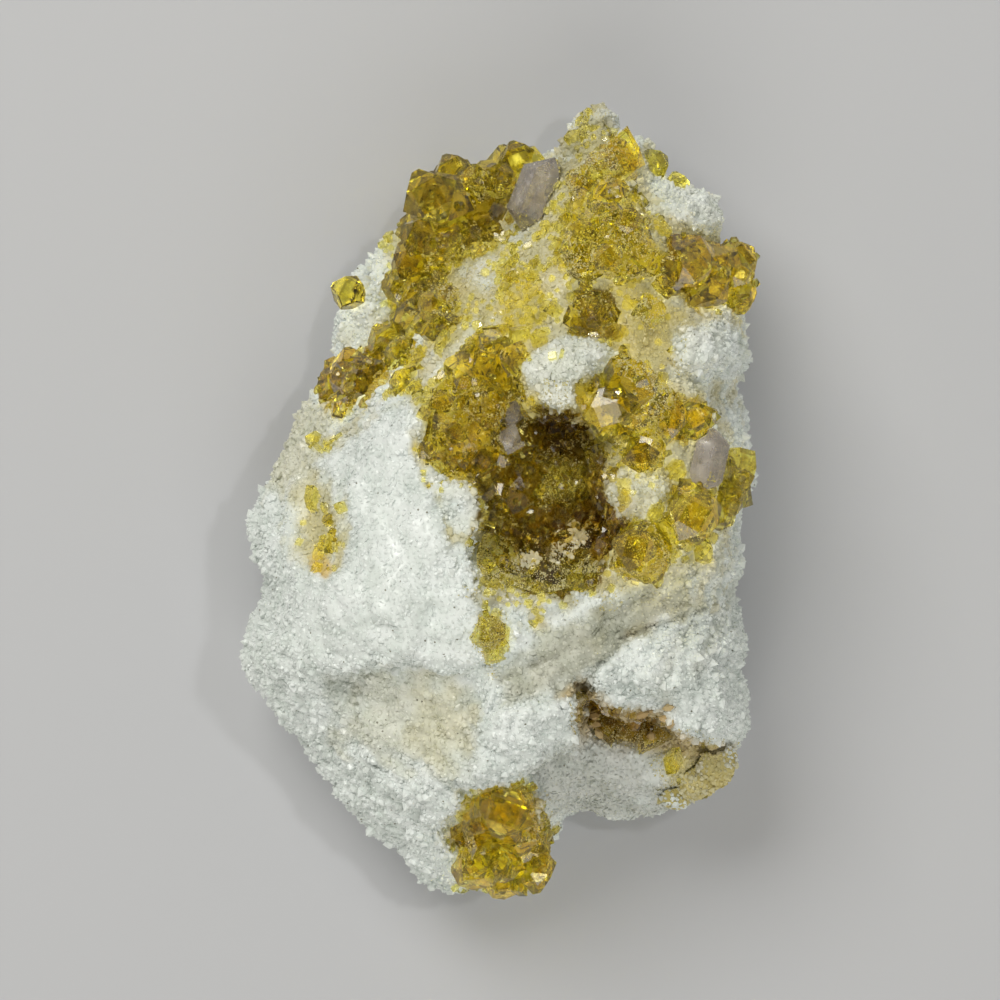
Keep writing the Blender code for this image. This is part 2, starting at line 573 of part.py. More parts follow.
# ---------------------------------------------------------------- the matrix
def cliff_points(dice):
    """Points along the brink, the face and the foot of each cliff, with their heights."""
    plan, heights = [], []
    for terrace in TERRACES:
        brink = resampled(terrace.outline, GRAIN)
        foot = brink + terrace.run * inward_from(terrace.outline, brink)
        share = 0.5 + dice.uniform(-CLIFF_SWAY, CLIFF_SWAY, len(brink))
        face = brink + share[:, None] * (foot - brink)
        upper, lower = ground(brink, on_top_of_cliffs=True), ground(foot)
        drop = 0.5 + dice.uniform(-CLIFF_SWAY, CLIFF_SWAY, len(brink)) / 2
        plan += [brink, foot, face]
        heights += [upper, lower, upper + drop * (lower - upper)]
    plan, heights = np.vstack(plan), np.concatenate(heights)
    keep = inside(OUTLINE, plan) & (distance_to(OUTLINE, plan) > CLIFF_FROM_EDGE)
    return plan[keep], heights[keep]


def open_ground_points(rim, dice):
    """Points of the shoulder and of the open ground, with their heights."""
    rings = np.vstack([rim * share for share in SHOULDER_RINGS])
    rings += dice.uniform(-RING_SWAY, RING_SWAY, rings.shape)
    grid = lattice(GRAIN, PLAN_REACH)
    grid += dice.uniform(-GRID_SWAY, GRID_SWAY, grid.shape)
    grid = grid[inside(OUTLINE, grid) & (distance_to(OUTLINE, grid) > GRID_FROM_EDGE)]
    plan = np.vstack([rings, grid])
    return plan, ground(plan) + dice.normal(0.0, ROUGHNESS, len(plan))


def thinned(points, heights, fixed, least):
    """The points that stand clear of the fixed ones and of each other."""
    kept = [tuple(p) for p in fixed]
    chosen = []
    for index, point in enumerate(points):
        apart = [(point[0] - x) ** 2 + (point[1] - y) ** 2 for x, y in kept]
        if min(apart) > least**2:
            kept.append(tuple(point))
            chosen.append(index)
    return points[chosen], heights[chosen]


def upper_side(rim, rim_levels, dice):
    """The faceted upper side: its vertices, its faces, and the rim's places in order."""
    cliffs, cliff_levels = thinned(*cliff_points(dice), rim, CLIFF_POINTS_APART)
    fixed = np.vstack([rim, cliffs])
    loose, loose_levels = thinned(*open_ground_points(rim, dice), fixed, POINTS_APART)
    plan = [Vector(point) for point in np.vstack([fixed, loose])]
    levels = np.concatenate([rim_levels, cliff_levels, loose_levels])
    boundary = list(range(len(rim)))
    inside_boundary_only = 1
    result = delaunay_2d_cdt(plan, [], [boundary], inside_boundary_only, 1e-6)
    found, _, triangles, origins = result[:4]
    rows = [sources[0] for sources in origins]
    vertices = [(point.x, point.y, levels[row]) for point, row in zip(found, rows)]
    place = {row: index for index, row in enumerate(rows)}
    return vertices, [list(t) for t in triangles], [place[row] for row in boundary]


def matrix_mesh():
    """The closed skin of the matrix: a faceted upper side, rough walls and a flat base."""
    dice = np.random.default_rng(SEED)
    rim = resampled(OUTLINE, EDGE_GRAIN)
    rim_levels = rim_height(rim) + dice.normal(0.0, ROUGHNESS, len(rim))
    vertices, faces, above = upper_side(rim, rim_levels, dice)
    for ring in WALL_RINGS:
        first = len(vertices)
        sway = dice.normal(0.0, WALL_ROUGHNESS, (len(rim), 3))
        sway[:, 2] *= ring.height > 0.0
        plan = smoothed(rim, ring.smoothing) * ring.size + sway[:, :2]
        levels = rim_levels * ring.height + sway[:, 2]
        vertices += [(x, y, z) for (x, y), z in zip(plan, levels)]
        below = list(range(first, first + len(rim)))
        for a, b, c, d in zip(above, above[1:] + above[:1], below[1:] + below[:1], below):
            faces += [[a, b, c], [a, c, d]]
        above = below
    faces.append(above)
    return vertices, faces


def outward(thing):
    """Turns every face of a closed mesh to point out."""
    skin = bmesh.new()
    skin.from_mesh(thing.data)
    bmesh.ops.recalc_face_normals(skin, faces=skin.faces)
    if skin.calc_volume(signed=True) < 0:
        bmesh.ops.reverse_faces(skin, faces=skin.faces)
    skin.to_mesh(thing.data)
    skin.free()
    return thing


# ---------------------------------------------------------------- crystals
def face_planes(habit):
    """(unit normal, distance) of every face of a barite crystal of this habit."""
    a, b, c = AXES
    forms = (
        ((0, 0, 1), habit.base),
        ((2, 1, 0), habit.prism),
        ((1, 0, 1), habit.side_dome),
        ((0, 1, 1), habit.end_dome),
    )
    planes = {}
    for (h, k, l), distance in forms:
        if distance is None:
            continue
        for x in (h, -h):
            for y in (k, -k):
                for z in (l, -l):
                    normal = Vector((x / a, y / b, z / c)).normalized()
                    planes[tuple(round(v, 6) for v in normal)] = (normal, distance)
    return list(planes.values())


def corners_of(planes):
    """The corners of the convex solid inside the planes."""
    found = []
    for i, (n0, d0) in enumerate(planes):
        for j, (n1, d1) in enumerate(planes[:i]):
            for n2, d2 in planes[:j]:
                meeting = Matrix((n0, n1, n2))
                if abs(meeting.determinant()) < 1e-5:
                    continue
                corner = meeting.inverted() @ Vector((d0, d1, d2))
                if all(corner.dot(n) < d + 1e-6 for n, d in planes):
                    found.append(corner)
    return found


UNIT_CORNERS = {name: corners_of(face_planes(habit)) for name, habit in HABITS.items()}


def convex_object(name, corners, placing):
    """The convex hull of the corners, put in place by a matrix in millimetres."""
    shell = bmesh.new()
    for corner in corners:
        shell.verts.new(placing @ corner * MM)
    bmesh.ops.remove_doubles(shell, verts=shell.verts, dist=0.02 * MM)
    hull = bmesh.ops.convex_hull(shell, input=shell.verts)
    inner = [v for v in hull["geom_interior"] if isinstance(v, bmesh.types.BMVert)]
    bmesh.ops.delete(shell, geom=inner, context="VERTS")
    bmesh.ops.recalc_face_normals(shell, faces=shell.faces)
    mesh = bpy.data.meshes.new(name)
    shell.to_mesh(mesh)
    shell.free()
    return merge_flat_faces(link(name, mesh))


def placing_of(x, y, rise, sizes, turn, lean):
    """The matrix that puts a unit shape on the ground, in millimetres."""
    level = float(ground((x, y))[0]) + rise
    turned = Euler((0.0, math.radians(lean), math.radians(turn)), "XYZ").to_matrix().to_4x4()
    return Matrix.Translation((x, y, level)) @ turned @ Matrix.Diagonal((*sizes, 1.0))


def crystal_object(name, crystal):
    sizes = [crystal.size * stretch for stretch in STRETCH[crystal.habit]]
    placing = placing_of(crystal.x, crystal.y, crystal.rise, sizes, crystal.turn, crystal.lean)
    return convex_object(name, UNIT_CORNERS[crystal.habit], placing)


def fused_crystals(name, crystals):
    """Crystals grown together, as one solid."""
    parts = [crystal_object(f"{name}_{k}", crystal) for k, crystal in enumerate(crystals)]
    whole, others = parts[0], parts[1:]
    whole.name = name
    if others:
        combine(whole, "UNION", others)
        discard(others)
    return whole


def pale_crystal(name, pebble):
    """A blunt six-sided crystal with a low pyramid at each end."""
    corners = [Vector((0.0, end * 0.5, 0.0)) for end in (-1, 1)]
    for end in (-1, 1):
        for side in range(PALE_PRISM_SIDES):
            bearing = math.tau * (side + 0.5) / PALE_PRISM_SIDES
            x, z = 0.5 * math.cos(bearing), 0.5 * math.sin(bearing)
            corners.append(Vector((x, end * PALE_PRISM_REACH, z)))
    sizes = (pebble.width, pebble.length, pebble.height)
    placing = placing_of(pebble.x, pebble.y, pebble.rise, sizes, pebble.turn, pebble.lean)
    return convex_object(name, corners, placing)


# ---------------------------------------------------------------- the hollow's crust
def crust_crystals():
    """The hollow's large crystals, and smaller ones on a lattice between them."""
    dice = random.Random(SEED)
    found = list(HOLLOW_CRYSTALS)
    grid = lattice(CRUST_SPACING, PLAN_REACH)
    in_hollow = inside(HOLLOW.outline, grid)
    in_hollow &= distance_to(HOLLOW.outline, grid) > CRUST_FROM_EDGE
    for x, y in grid[in_hollow]:
        if any(math.hypot(x - c.x, y - c.y) < c.size / 2 for c in HOLLOW_CRYSTALS):
            continue
        habit = dice.choice(("block", "table"))
        size = dice.uniform(*CRUST_SIZES)
        turn, lean = dice.uniform(0, 180), dice.uniform(0, 50)
        found.append(Crystal(x, y, CRUST_RISE, size, habit, turn, lean))
    return found


def lining(name, matrix):
    """A sheet over the hollow's walls: its top clears them, and its bottom lies inside them."""
    skin = matrix.data
    plan = np.array([vertex.co[:2] for vertex in skin.vertices]) / MM
    heights = np.array([vertex.co[2] for vertex in skin.vertices]) / MM
    upright = np.array([max(vertex.normal.z, LEAST_UPRIGHT) for vertex in skin.vertices])
    covered = inside(HOLLOW.outline, plan) & (heights > LINING_FLOOR)
    covered &= distance_to(HOLLOW.outline, plan) > LINING_FROM_EDGE
    walls = [list(face.vertices) for face in skin.polygons]
    walls = [corners for corners in walls if covered[corners].all()]
    used = sorted({k for corners in walls for k in corners})
    place = {row: index for index, row in enumerate(used)}
    top = [[place[k] for k in corners] for corners in walls]
    count = len(used)
    above = heights[used] + (GAP + CRUST_THICKNESS) / upright[used]
    below = heights[used] - CRUST_THICKNESS
    vertices = [(*plan[k], z) for k, z in zip(used, above)]
    vertices += [(*plan[k], z) for k, z in zip(used, below)]
    edges = {(a, b) for face in top for a, b in zip(face, face[1:] + face[:1])}
    sides = [[b, a, a + count, b + count] for a, b in sorted(edges) if (b, a) not in edges]
    bottom = [[k + count for k in reversed(face)] for face in top]
    return outward(new_object(name, vertices, top + bottom + sides))


def hollow_crust(name, matrix):
    """A thin layer that follows the hollow's walls, with crystals standing on it."""
    crystals = fused_crystals("crust_crystals", crust_crystals())
    crust = combine(lining(name, matrix), "UNION", [crystals])
    discard([crystals])
    return crust


def largest_piece(thing):
    """Drops chips that a cut left loose, keeping the largest closed piece."""
    skin = bmesh.new()
    skin.from_mesh(thing.data)
    bmesh.ops.remove_doubles(skin, verts=skin.verts, dist=CHIP_WELD * MM)
    pieces, unseen = [], set(skin.faces)
    while unseen:
        piece, edge_of_search = set(), [unseen.pop()]
        while edge_of_search:
            face = edge_of_search.pop()
            piece.add(face)
            for edge in face.edges:
                for neighbour in edge.link_faces:
                    if neighbour in unseen:
                        unseen.discard(neighbour)
                        edge_of_search.append(neighbour)
        pieces.append(piece)
    pieces.sort(key=lambda piece: sum(face.calc_area() for face in piece))
    chips = [face for piece in pieces[:-1] for face in piece]
    bmesh.ops.delete(skin, geom=chips, context="FACES")
    skin.to_mesh(thing.data)
    skin.free()
    return merge_flat_faces(thing)


def centre_on_base(things):
    """Moves everything so that the origin is the middle of the base."""
    corners = np.array([v.co for thing in things for v in thing.data.vertices])
    low, high = corners.min(axis=0), corners.max(axis=0)
    middle = Vector(((low[0] + high[0]) / 2, (low[1] + high[1]) / 2, low[2]))
    for thing in things:
        thing.data.transform(Matrix.Translation(-middle))


def main():
    for thing in list(bpy.data.objects):
        bpy.data.objects.remove(thing)
    quartz, barite, pale = (make_material(name) for name in MATERIALS)

    matrix = outward(new_object("quartz_matrix", *matrix_mesh()))
    clearances = [grown(matrix, "clearance", GAP)]
    clearances += [shifted(matrix, "least_clearance", step) for step in LEAST_GAP_STEPS]
    crystals = {fused_crystals(name, parts): barite for name, parts in CLUSTERS.items()}
    crystals |= {pale_crystal(name, pebble): pale for name, pebble in PALE_CRYSTALS.items()}
    crystals[hollow_crust("barite_hollow_crust", matrix)] = barite
    for crystal, material in crystals.items():
        combine(crystal, "DIFFERENCE", clearances)
        finish(largest_piece(crystal), material)
    discard(clearances)
    centre_on_base([finish(matrix, quartz), *crystals])


main()
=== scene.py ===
"""The looks of the barite specimen: golden barite crystals on white quartz druse.

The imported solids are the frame. Sizes here are in millimetres up to the point where a mesh is
made. The plan (X, Y) is the specimen's face, which the camera looks straight down on.
"""

import json
import math
from collections import namedtuple
from itertools import combinations

import bmesh
import bpy
import numpy as np
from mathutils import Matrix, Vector, noise
from mathutils.bvhtree import BVHTree
from mathutils.kdtree import KDTree

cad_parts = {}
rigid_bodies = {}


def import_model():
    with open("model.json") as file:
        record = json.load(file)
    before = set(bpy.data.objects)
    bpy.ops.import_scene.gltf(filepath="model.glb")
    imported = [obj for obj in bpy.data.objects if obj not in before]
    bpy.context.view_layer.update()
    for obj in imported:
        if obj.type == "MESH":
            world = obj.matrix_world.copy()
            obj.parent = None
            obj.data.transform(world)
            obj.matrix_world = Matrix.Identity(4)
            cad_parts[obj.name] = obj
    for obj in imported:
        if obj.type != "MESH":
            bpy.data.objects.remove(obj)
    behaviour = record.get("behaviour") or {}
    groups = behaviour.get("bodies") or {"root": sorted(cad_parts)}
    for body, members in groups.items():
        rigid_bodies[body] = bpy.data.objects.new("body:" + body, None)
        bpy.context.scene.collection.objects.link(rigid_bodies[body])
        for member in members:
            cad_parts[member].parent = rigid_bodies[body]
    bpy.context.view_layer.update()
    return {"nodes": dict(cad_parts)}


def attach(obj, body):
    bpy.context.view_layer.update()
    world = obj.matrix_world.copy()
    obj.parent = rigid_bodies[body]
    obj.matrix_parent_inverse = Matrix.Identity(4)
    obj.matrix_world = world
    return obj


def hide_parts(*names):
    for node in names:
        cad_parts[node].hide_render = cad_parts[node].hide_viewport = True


MM = 0.001
TO_MM = 1000.0
SEED = 5
MOST_TRIANGLES = 200000
BODY = "root"

# ---- sizes, in mm
WELD = 0.001  # points nearer than this are one
MATRIX_VOXEL = 0.44  # the size of the matrix's new faces
MATRIX_SMOOTHING = 4
SMOOTH_FACTOR = 0.5
Swell = namedtuple("Swell", "span height")
SWELLS = (Swell(9, 0.55), Swell(4.5, 0.4), Swell(2.2, 0.2))
LUMPS = (Swell(4.2, 0.6), Swell(2.2, 0.8), Swell(1.1, 0.44))  # rounded, with creases between
LUMP_REACH = 0.8
MEAN_LUMP = 1.4
UPWARD = 2.0  # how soon a slope counts as facing up
BACK_LEVEL = 0.9  # the broken back has no druse below this height

CANDIDATES = 5.0  # places tried for each small thing that fits
DRUSE_SKEW = 2  # how far small sizes outnumber large ones
SMALL_SKEW = 1.5
# The druse: spacing, half widths, height over half width, lean.
Druse = namedtuple("Druse", "name apart least most slender lean")
COARSE_DRUSE = Druse("coarse", 0.9, 0.24, 0.58, 1.1, 0.5)
CRUST_DRUSE = Druse("crust", 0.42, 0.22, 0.46, 0.8, 0.6)
FINE_DRUSE = Druse("fine", 0.42, 0.2, 0.4, 0.85, 0.6)
SUGAR = Druse("sugar", 0.17, 0.05, 0.15, 1.0, 1.0)
TALLNESS = (0.75, 1.3)  # least and greatest, as shares
FLATNESS = (0.75, 1.0)
DRUSE_SHADES = (0.92, 1.05)
THINNED = 0.35  # the share of fine druse that gives way to barite
SUGAR_PATCH = 2.0  # how wide the patches of sugar are, and the clumps in them
SUGAR_CLUMP = 0.45
SUGAR_LEVEL = 0.44  # noise above this is a patch
SUGAR_EDGE = 0.1  # the least frost, and the least upward slope, that sugar lies on
SUGAR_SLOPE = -0.2
SUGAR_GAPS = 0.12
SUGAR_FILL = 0.55
SUGAR_CREAM = 0.4
SUGAR_SHADE = 0.5
SUGAR_SHAPES = (0.7, 1.3)
STRAY = 0.12
HALFWAY = -2.0  # the druse is two pieces, above and below this line in plan
WALL_SLOPE = 0.5
WALL_TALL = 1.1  # how much taller the points stand on the walls
PLATE_HEIGHT = 0.55  # how tall the points stand on the smooth white face, as a share

CRYSTAL_VOXEL = 0.22
OVAL_SMOOTHING = 24
OVAL_FULLNESS = 1.12  # makes up for what the smoothing takes away
OVAL_RISE = 0.5
FLAT_ANGLE = 1.0  # faces within this many degrees are one
EDGE_ANGLE = 18.0
EDGE_WEAR = 0.12
PLACE_DIGITS = 3  # decimals of a mm
# Small barite crystals: spacing, least and greatest length, how far the middle stands out, and
# the share of places taken.
Crop = namedtuple("Crop", "name apart least most rise share")
MATRIX_CROPS = (Crop("medium", 2.1, 1.3, 2.7, 0.2, 0.75), Crop("small", 0.62, 0.55, 1.3, 0.15, 1))
CLUSTER_CROPS = (Crop("medium", 2.3, 1.2, 2.4, 0.12, 0.55), Crop("small", 1, 0.45, 1.15, 0.1, 0.6))
CROP_LEAN = 1.2
CROP_EDGE = 0.05  # the least share of barite, and the least upward slope
CROP_SLOPE = -0.5
CROP_SHAPES = (0.8, 1.15)
CROP_SHADES = (0.93, 0.07, 0.75)  # the mean, the spread and the least

# ---- colours, linear
WHITE = (0.79, 0.825, 0.81)
CREAM = (0.66, 0.61, 0.4)
STRAW = (0.6, 0.51, 0.2)
OCHRE = (0.6, 0.43, 0.15)
BUFF = (0.68, 0.63, 0.4)
TAN = (0.58, 0.46, 0.25)
RUST = (0.76, 0.43, 0.04)
# A grey that is partly painted shade, for the far lobe under the overhang.
SHADED_GREY = (0.6, 0.61, 0.58)
PALE = (0.72, 0.7, 0.56)
DUSTED = (0.6, 0.51, 0.13)
DRAB = (0.43, 0.39, 0.21)
# Greyish quartz colour that is partly painted shade: the band below the hollow, and the gaps and
# ledge lines.
SMOKE_AND_SHADE = (0.49, 0.485, 0.38)

# Soft patches: place and half widths in plan, colour, strength and turn in degrees.
Stain = namedtuple("Stain", "x y half_x half_y colour strength turn", defaults=(0,))


def patches(*rows):
    return tuple(Stain(*row) for row in rows)


# Colour on the quartz, with painted shade in some patches.
STAINS = patches(
    # the upper half, between the crystals
    (6, 20, 17, 22, CREAM, 0.85, -20),
    # the pointed top
    (9.5, 36, 4, 5, DRAB, 0.7),
    # white patches among the golden ones
    (-1.6, 22.4, 2.4, 1.8, WHITE, 0.65, 20), (-2.4, 17.2, 2, 1.1, WHITE, 0.55, 20),
    (1.3, 27.2, 1.8, 2, WHITE, 0.55), (18, 25.5, 5, 3.6, DRAB, 0.6), (13.5, 17.5, 5, 8, DRAB, 0.7),
    # round the hollow
    (5, 3.5, 9, 13, STRAW, 0.9, 15), (13.5, 16.5, 4.6, 6, STRAW, 0.8), (16, 0, 7, 13, CREAM, 0.8),
    # the ochre pocket
    (-18.2, -2.6, 3, 5.2, BUFF, 0.6, 10), (-17.8, -6.4, 1.1, 1.2, RUST, 0.6),
    (-17.8, -3.6, 1.8, 3.2, STRAW, 0.55, 10), (-20.5, 6, 5, 6, CREAM, 0.5, 30),
    # the cream patch
    (-5.8, -22.8, 3.4, 4.6, BUFF, 0.45),
    # under the overhang: the tan and the grey are each partly the quartz's own colour and partly
    # painted shade
    (14, -22, 8, 3.2, TAN, 0.9, -8), (20.2, -27.6, 3.8, 3.4, STRAW, 0.9),
    (18, -24.6, 6, 1.2, TAN, 0.8, -8), (10, -28.5, 8, 4, SHADED_GREY, 0.8),
    # the pocket at the foot
    (1, -33.6, 3, 5.4, OCHRE, 0.8), (-7, 23, 4.5, 8, STRAW, 0.6, 30),
    (-13.4, 22, 2.6, 4.6, WHITE, 0.9, -35),
    # the slope below the hollow: the grey band is greyish druse with painted shade
    (9, -13.8, 10, 2.8, SMOKE_AND_SHADE, 0.8, 32), (-9.5, -21.5, 6.5, 4.5, CREAM, 0.35, 10),
    (8.2, -19, 1.6, 1.5, TAN, 0.9),
)
# Crusts of quartz that stand above the ground round them, as outlines in plan: how high they
# rise, over how wide an edge, and how white they are.
Crust = namedtuple("Crust", "outline rise edge white")
FRONT_PLATE = Crust((
    (-8.7, 10), (-11.1, 9.3), (-14.3, 6.3), (-19, 3.6), (-16.5, 1.7), (-14.7, -0.1), (-14.9, -2.2),
    (-15.4, -6.5), (-17.2, -7.6), (-20, -6.1), (-21.8, -7.9), (-22.9, -10.8), (-21.5, -15),
    (-17.2, -18.2), (-15.8, -17.2), (-11.1, -16.1), (-8.7, -16.5), (-5.1, -17.5), (-0.8, -16.1),
    (-1.5, -12.9), (-1.9, -10.8), (-4, -7.9), (-5.1, -3.6), (-6, 0), (-7.9, 2.8),
    (-8.7, 5.6)), 0.9, 0.5, 1)
CRUSTS = (
    FRONT_PLATE,
    # beside the plate
    Crust((
        (-7.9, 2.6), (-5, 2.2), (-3, 1.7), (-1.9, -0.4), (-2.8, -3.3), (-4.8, -3.6),
        (-6, 0)), 0.5, 0.8, 0.85),
    # the lower block
    Crust((
        (-2.2, -22.2), (-0.6, -20.8), (3.7, -20), (7.6, -19.3), (7.6, -24.3), (5.4, -24.3),
        (3.7, -26.1), (2.2, -27.9), (0.1, -28.4), (-2.7, -27.9)), 1, 0.6, 1),
    # the right block
    Crust((
        (8.6, -17.6), (10.1, -16.2), (12.9, -13.7), (15.1, -13.3), (18.6, -11.5), (20.4, -11.2),
        (26, -10.5), (26.5, -25), (23.6, -24.7), (20, -24.3), (17.2, -22.9), (16.1, -21.1),
        (14, -21), (11.5, -20.8), (9, -18.7)), 1, 0.6, 1),
    # the lump in the middle
    Crust((
        (3.6, 15), (6, 16.3), (8.3, 16.3), (10.7, 15.6), (12.3, 14.2), (10.7, 12.7), (7.5, 11.6),
        (7.5, 9.4), (5.6, 8.4), (3.9, 9.6), (3.7, 11), (2.1, 11.9), (1.8, 13.4)), 1.6, 1.6, 0.78),
    # the ball at the right
    Crust((
        (16.8, 16.1), (18.4, 17.1), (20, 17.7), (22.3, 17.6), (24.3, 17.1), (25.5, 14.8),
        (25.5, 13.2), (23.1, 11.8), (20, 12), (17.6, 12.4), (17.1, 14)), 1.9, 1.8, 0.8),
    # the flower right of the hollow
    Crust((
        (10.6, 3), (12.2, 3.8), (14, 3.4), (16, 3), (16.8, 1), (16.2, -1.5), (14.5, -3),
        (12.5, -2.8), (11, -1.5), (10.3, 0.5)), 0.9, 0.8, 0.3),
    # the lump at the upper right
    Crust((
        (15, 33), (17, 32.6), (20, 31.4), (23, 29.6), (23, 27), (20.5, 26.4), (18, 27.6), (16, 29),
        (14.6, 31)), 1, 1.6, 0.75),
    # the lump at the point
    Crust((
        (10.6, 39.6), (12.6, 39.4), (15, 36.6), (14.2, 34.6), (12.4, 35.4),
        (11.2, 37.2)), 0.3, 1.5, 0.8),
)
CRUST_RAGGED = 0.45
CRUST_SPAN = 0.9
PAINT_EDGE = 0.5
PLATE_EDGE = 3.0
LUMPY_EDGE = 0.8

# Gaps and ledge lines in the quartz: route in plan, depth, half width and the colour painted along
# them.
Crease = namedtuple("Crease", "route depth width colour", defaults=(SMOKE_AND_SHADE,))
# In the grey ones that colour is painted shade, in the ochre and buff ones the quartz's own
# colour.
CREASES = (
    Crease(((7.6, -19.6), (8.3, -18), (10, -16.1), (12.9, -13.7), (15, -12.6),
            (18.6, -11.2), (20.4, -10.6)), 0.55, 0.36),
    Crease(((12.9, -13.2), (14, -12.5), (15.2, -12.2)), 0.4, 0.55, OCHRE),
    Crease(((-18.4, 0.6), (-18, -4.8)), 1, 1.9, BUFF),
    Crease(((20, -11.2), (17.2, -15), (16.1, -18), (16.8, -21.2)), 0.7, 0.7),
    Crease(((24, -8), (21.5, -13), (19.5, -17)), 0.6, 0.7),
    Crease(((-17.4, -17.6), (-16, -18), (-13.5, -17.2), (-10.5, -16.6)), 0.6, 0.5),
    Crease(((-17, -18.4), (-16.3, -21), (-17, -24.5)), 0.9, 0.6),
    Crease(((-3.5, -19.5), (-3, -23), (-3.4, -27.5)), 0.6, 0.8),
    Crease(((-1, -17.2), (3, -18.6), (6.6, -18.4)), 0.5, 0.7),
    Crease(((0, -17.8), (4, -16), (8.5, -13.4), (14, -9.8), (19, -7.2)), 0.7, 0.45),
    Crease(((5, -11.4), (11, -8.6), (16, -6.4)), 0.4, 0.5),
)
# How strongly a crease's colour is painted along it: painted shade along the grey ones, own colour
# along the others.
CREASE_SHADE_AND_TINT = 0.35
CREASE_BREAKS = (0.75, 0.5, 0.2)  # its depth: the mean, how far it varies and the least
CREASE_END = 4.0  # in half widths
CREASE_RAGGED = 0.35
CREASE_SPAN = 2.5

# Where the quartz is fine and even, with little relief.
Calm = namedtuple("Calm", "x y half_x half_y strength turn", defaults=(0,))
CALM = tuple(Calm(*row) for row in (
    (3, 22.5, 13, 10, 0.9, -10), (13.5, 18, 5, 7, 0.8), (14.5, -1, 6, 9, 0.7),
    (-18, -2.6, 3.6, 5.4, 0.8, 10), (-6.6, -21.5, 6, 5, 0.7),
    (8, -13, 10, 3.4, 0.7, 32), (8.5, -29, 9, 4, 0.6),
))
WALL_FREE = 2.5  # a patch reaches down the walls by its half width and this much, then fades
WALL_FADE = 3.0
STAIN_RAGGED = 0.6
STAIN_SPAN = 2.2
STAIN_EDGE = 0.5  # widths of soft edges, as shares of a patch
GROWTH_EDGE = 0.3
KIND_LEAD = 0.15  # a later growth gives its kind even where it covers this much less
UNDER_FADE = 1.5
SHADE_EDGE = 0.8

# Where barite grows among the quartz: place and half widths in plan, share of the ground that
# it covers, its kind, and turn in degrees.
Growth = namedtuple("Growth", "x y half_x half_y share kind turn", defaults=(0,))
GROWTHS = tuple(Growth(*row) for row in (
    # the cream ground between the golden patches
    (5, 23, 7, 5, 0.35, "lemon"), (-2.6, 17.8, 5, 2.4, 0.4, "lemon"),
    (13.5, 16.5, 3.6, 5.2, 0.3, "lemon"), (9.8, 36, 2.2, 2.4, 0.4, "lemon"),
    (9.4, 38.4, 1.4, 1.4, 0.35, "lemon"), (15, -2, 5, 5, 0.4, "lemon"),
    (8.5, 22, 8.5, 9, 0.35, "golden"),
    # the upper left
    (-4.2, 28.6, 7.4, 4.6, 0.55, "olive", 25), (-8.4, 23, 2.8, 6.4, 0.6, "olive", -15),
    (-6.8, 30.6, 2.8, 2.6, 0.4, "honey"), (-1.8, 25.8, 2.6, 1.3, 1, "lemon", 10),
    (-7.2, 19.2, 2.8, 2.8, 0.95, "golden"), (-10.8, 15.8, 1.6, 1.4, 0.9, "lemon"),
    (-9.2, 14.4, 1.5, 1.8, 0.9, "golden"), (-14.8, 11.9, 3.8, 2.3, 0.95, "amber", 15),
    (-15.7, 8.8, 1.1, 0.7, 0.8, "lemon", 20), (-17.5, 5.6, 1.2, 0.8, 0.8, "lemon", 20),
    (-9.5, 11, 1.9, 1, 0.9, "lemon", 10),
    # the ridge
    (2.2, 20.4, 1.8, 3.8, 0.9, "golden", 10), (12, 33.7, 1.5, 2.4, 1, "amber"),
    (9.2, 30.8, 1.4, 2, 1, "golden"), (10.5, 26.2, 5, 4.8, 0.9, "golden"),
    (18, 31.6, 0.9, 0.8, 0.9, "lemon"), (21, 22.2, 5, 3, 0.55, "honey"),
    (9.4, 18.2, 2.2, 2.8, 0.95, "brown"),
    # the hollow
    (-1.4, 6.4, 6.4, 6.6, 1, "golden"), (-5.4, 8.6, 2.4, 4, 0.9, "lemon"),
    (-0.2, 14.2, 3, 3, 1, "golden"), (5, -0.5, 6.6, 9, 1, "brown"),
    (5.4, 6.4, 3.2, 3.2, 1, "brown"), (4, -8.6, 7, 2.2, 0.6, "olive", 8),
    (11.6, 10.4, 3.8, 3.6, 1, "golden"), (18, 8, 2.6, 2, 0.9, "amber"),
    # right of the hollow and below it
    (14.2, 4.6, 2.4, 1.6, 0.9, "golden"), (18.9, -1.4, 2.8, 3, 0.5, "amber"),
    (13.8, -5, 3.2, 3.2, 0.6, "golden"), (23.2, 1.2, 1.8, 3, 0.85, "lemon"),
    (-0.8, -13.4, 1.3, 2.2, 0.7, "olive"), (-17.7, -5.4, 1.4, 1.6, 0.35, "honey"),
    (-18, -3, 2.4, 3.6, 0.18, "lemon", 10),
    # the foot and the shelf
    (0.2, -34, 4.6, 6, 0.6, "honey"), (12.4, -22, 5.4, 1.8, 0.35, "brown", -16),
    (20.4, -27.4, 3.6, 3.2, 0.25, "lemon"),
))
# The colour of the quartz under each kind of barite.
UNDER = {
    "amber": (0.56, 0.43, 0.08), "golden": (0.56, 0.47, 0.13), "lemon": (0.56, 0.515, 0.23),
    # under the brown kind, in the hollow and the recess, the dark colour is partly painted shade
    "olive": (0.36, 0.29, 0.07), "brown": (0.18, 0.12, 0.02), "honey": (0.7, 0.54, 0.08),
}
KINDS = tuple(UNDER)

# The kind that each cluster or crystal is of, by the end of its name.
CLUSTERS = {
    "amber": "left_flank right_shoulder left_edge",
    "golden": "middle hollow_right right_rim saddle brow slope top_edge",
    "lemon": "right_edge terrace shoulder lower_right pale",
    "olive": "upper_left lip crust notch",
    "brown": "ridge_hollow undercut",
    "honey": "upper_ridge foot",
    "crust": "shelf_corner",
}
KIND_OF = {name: kind for kind, names in CLUSTERS.items() for name in names.split()}
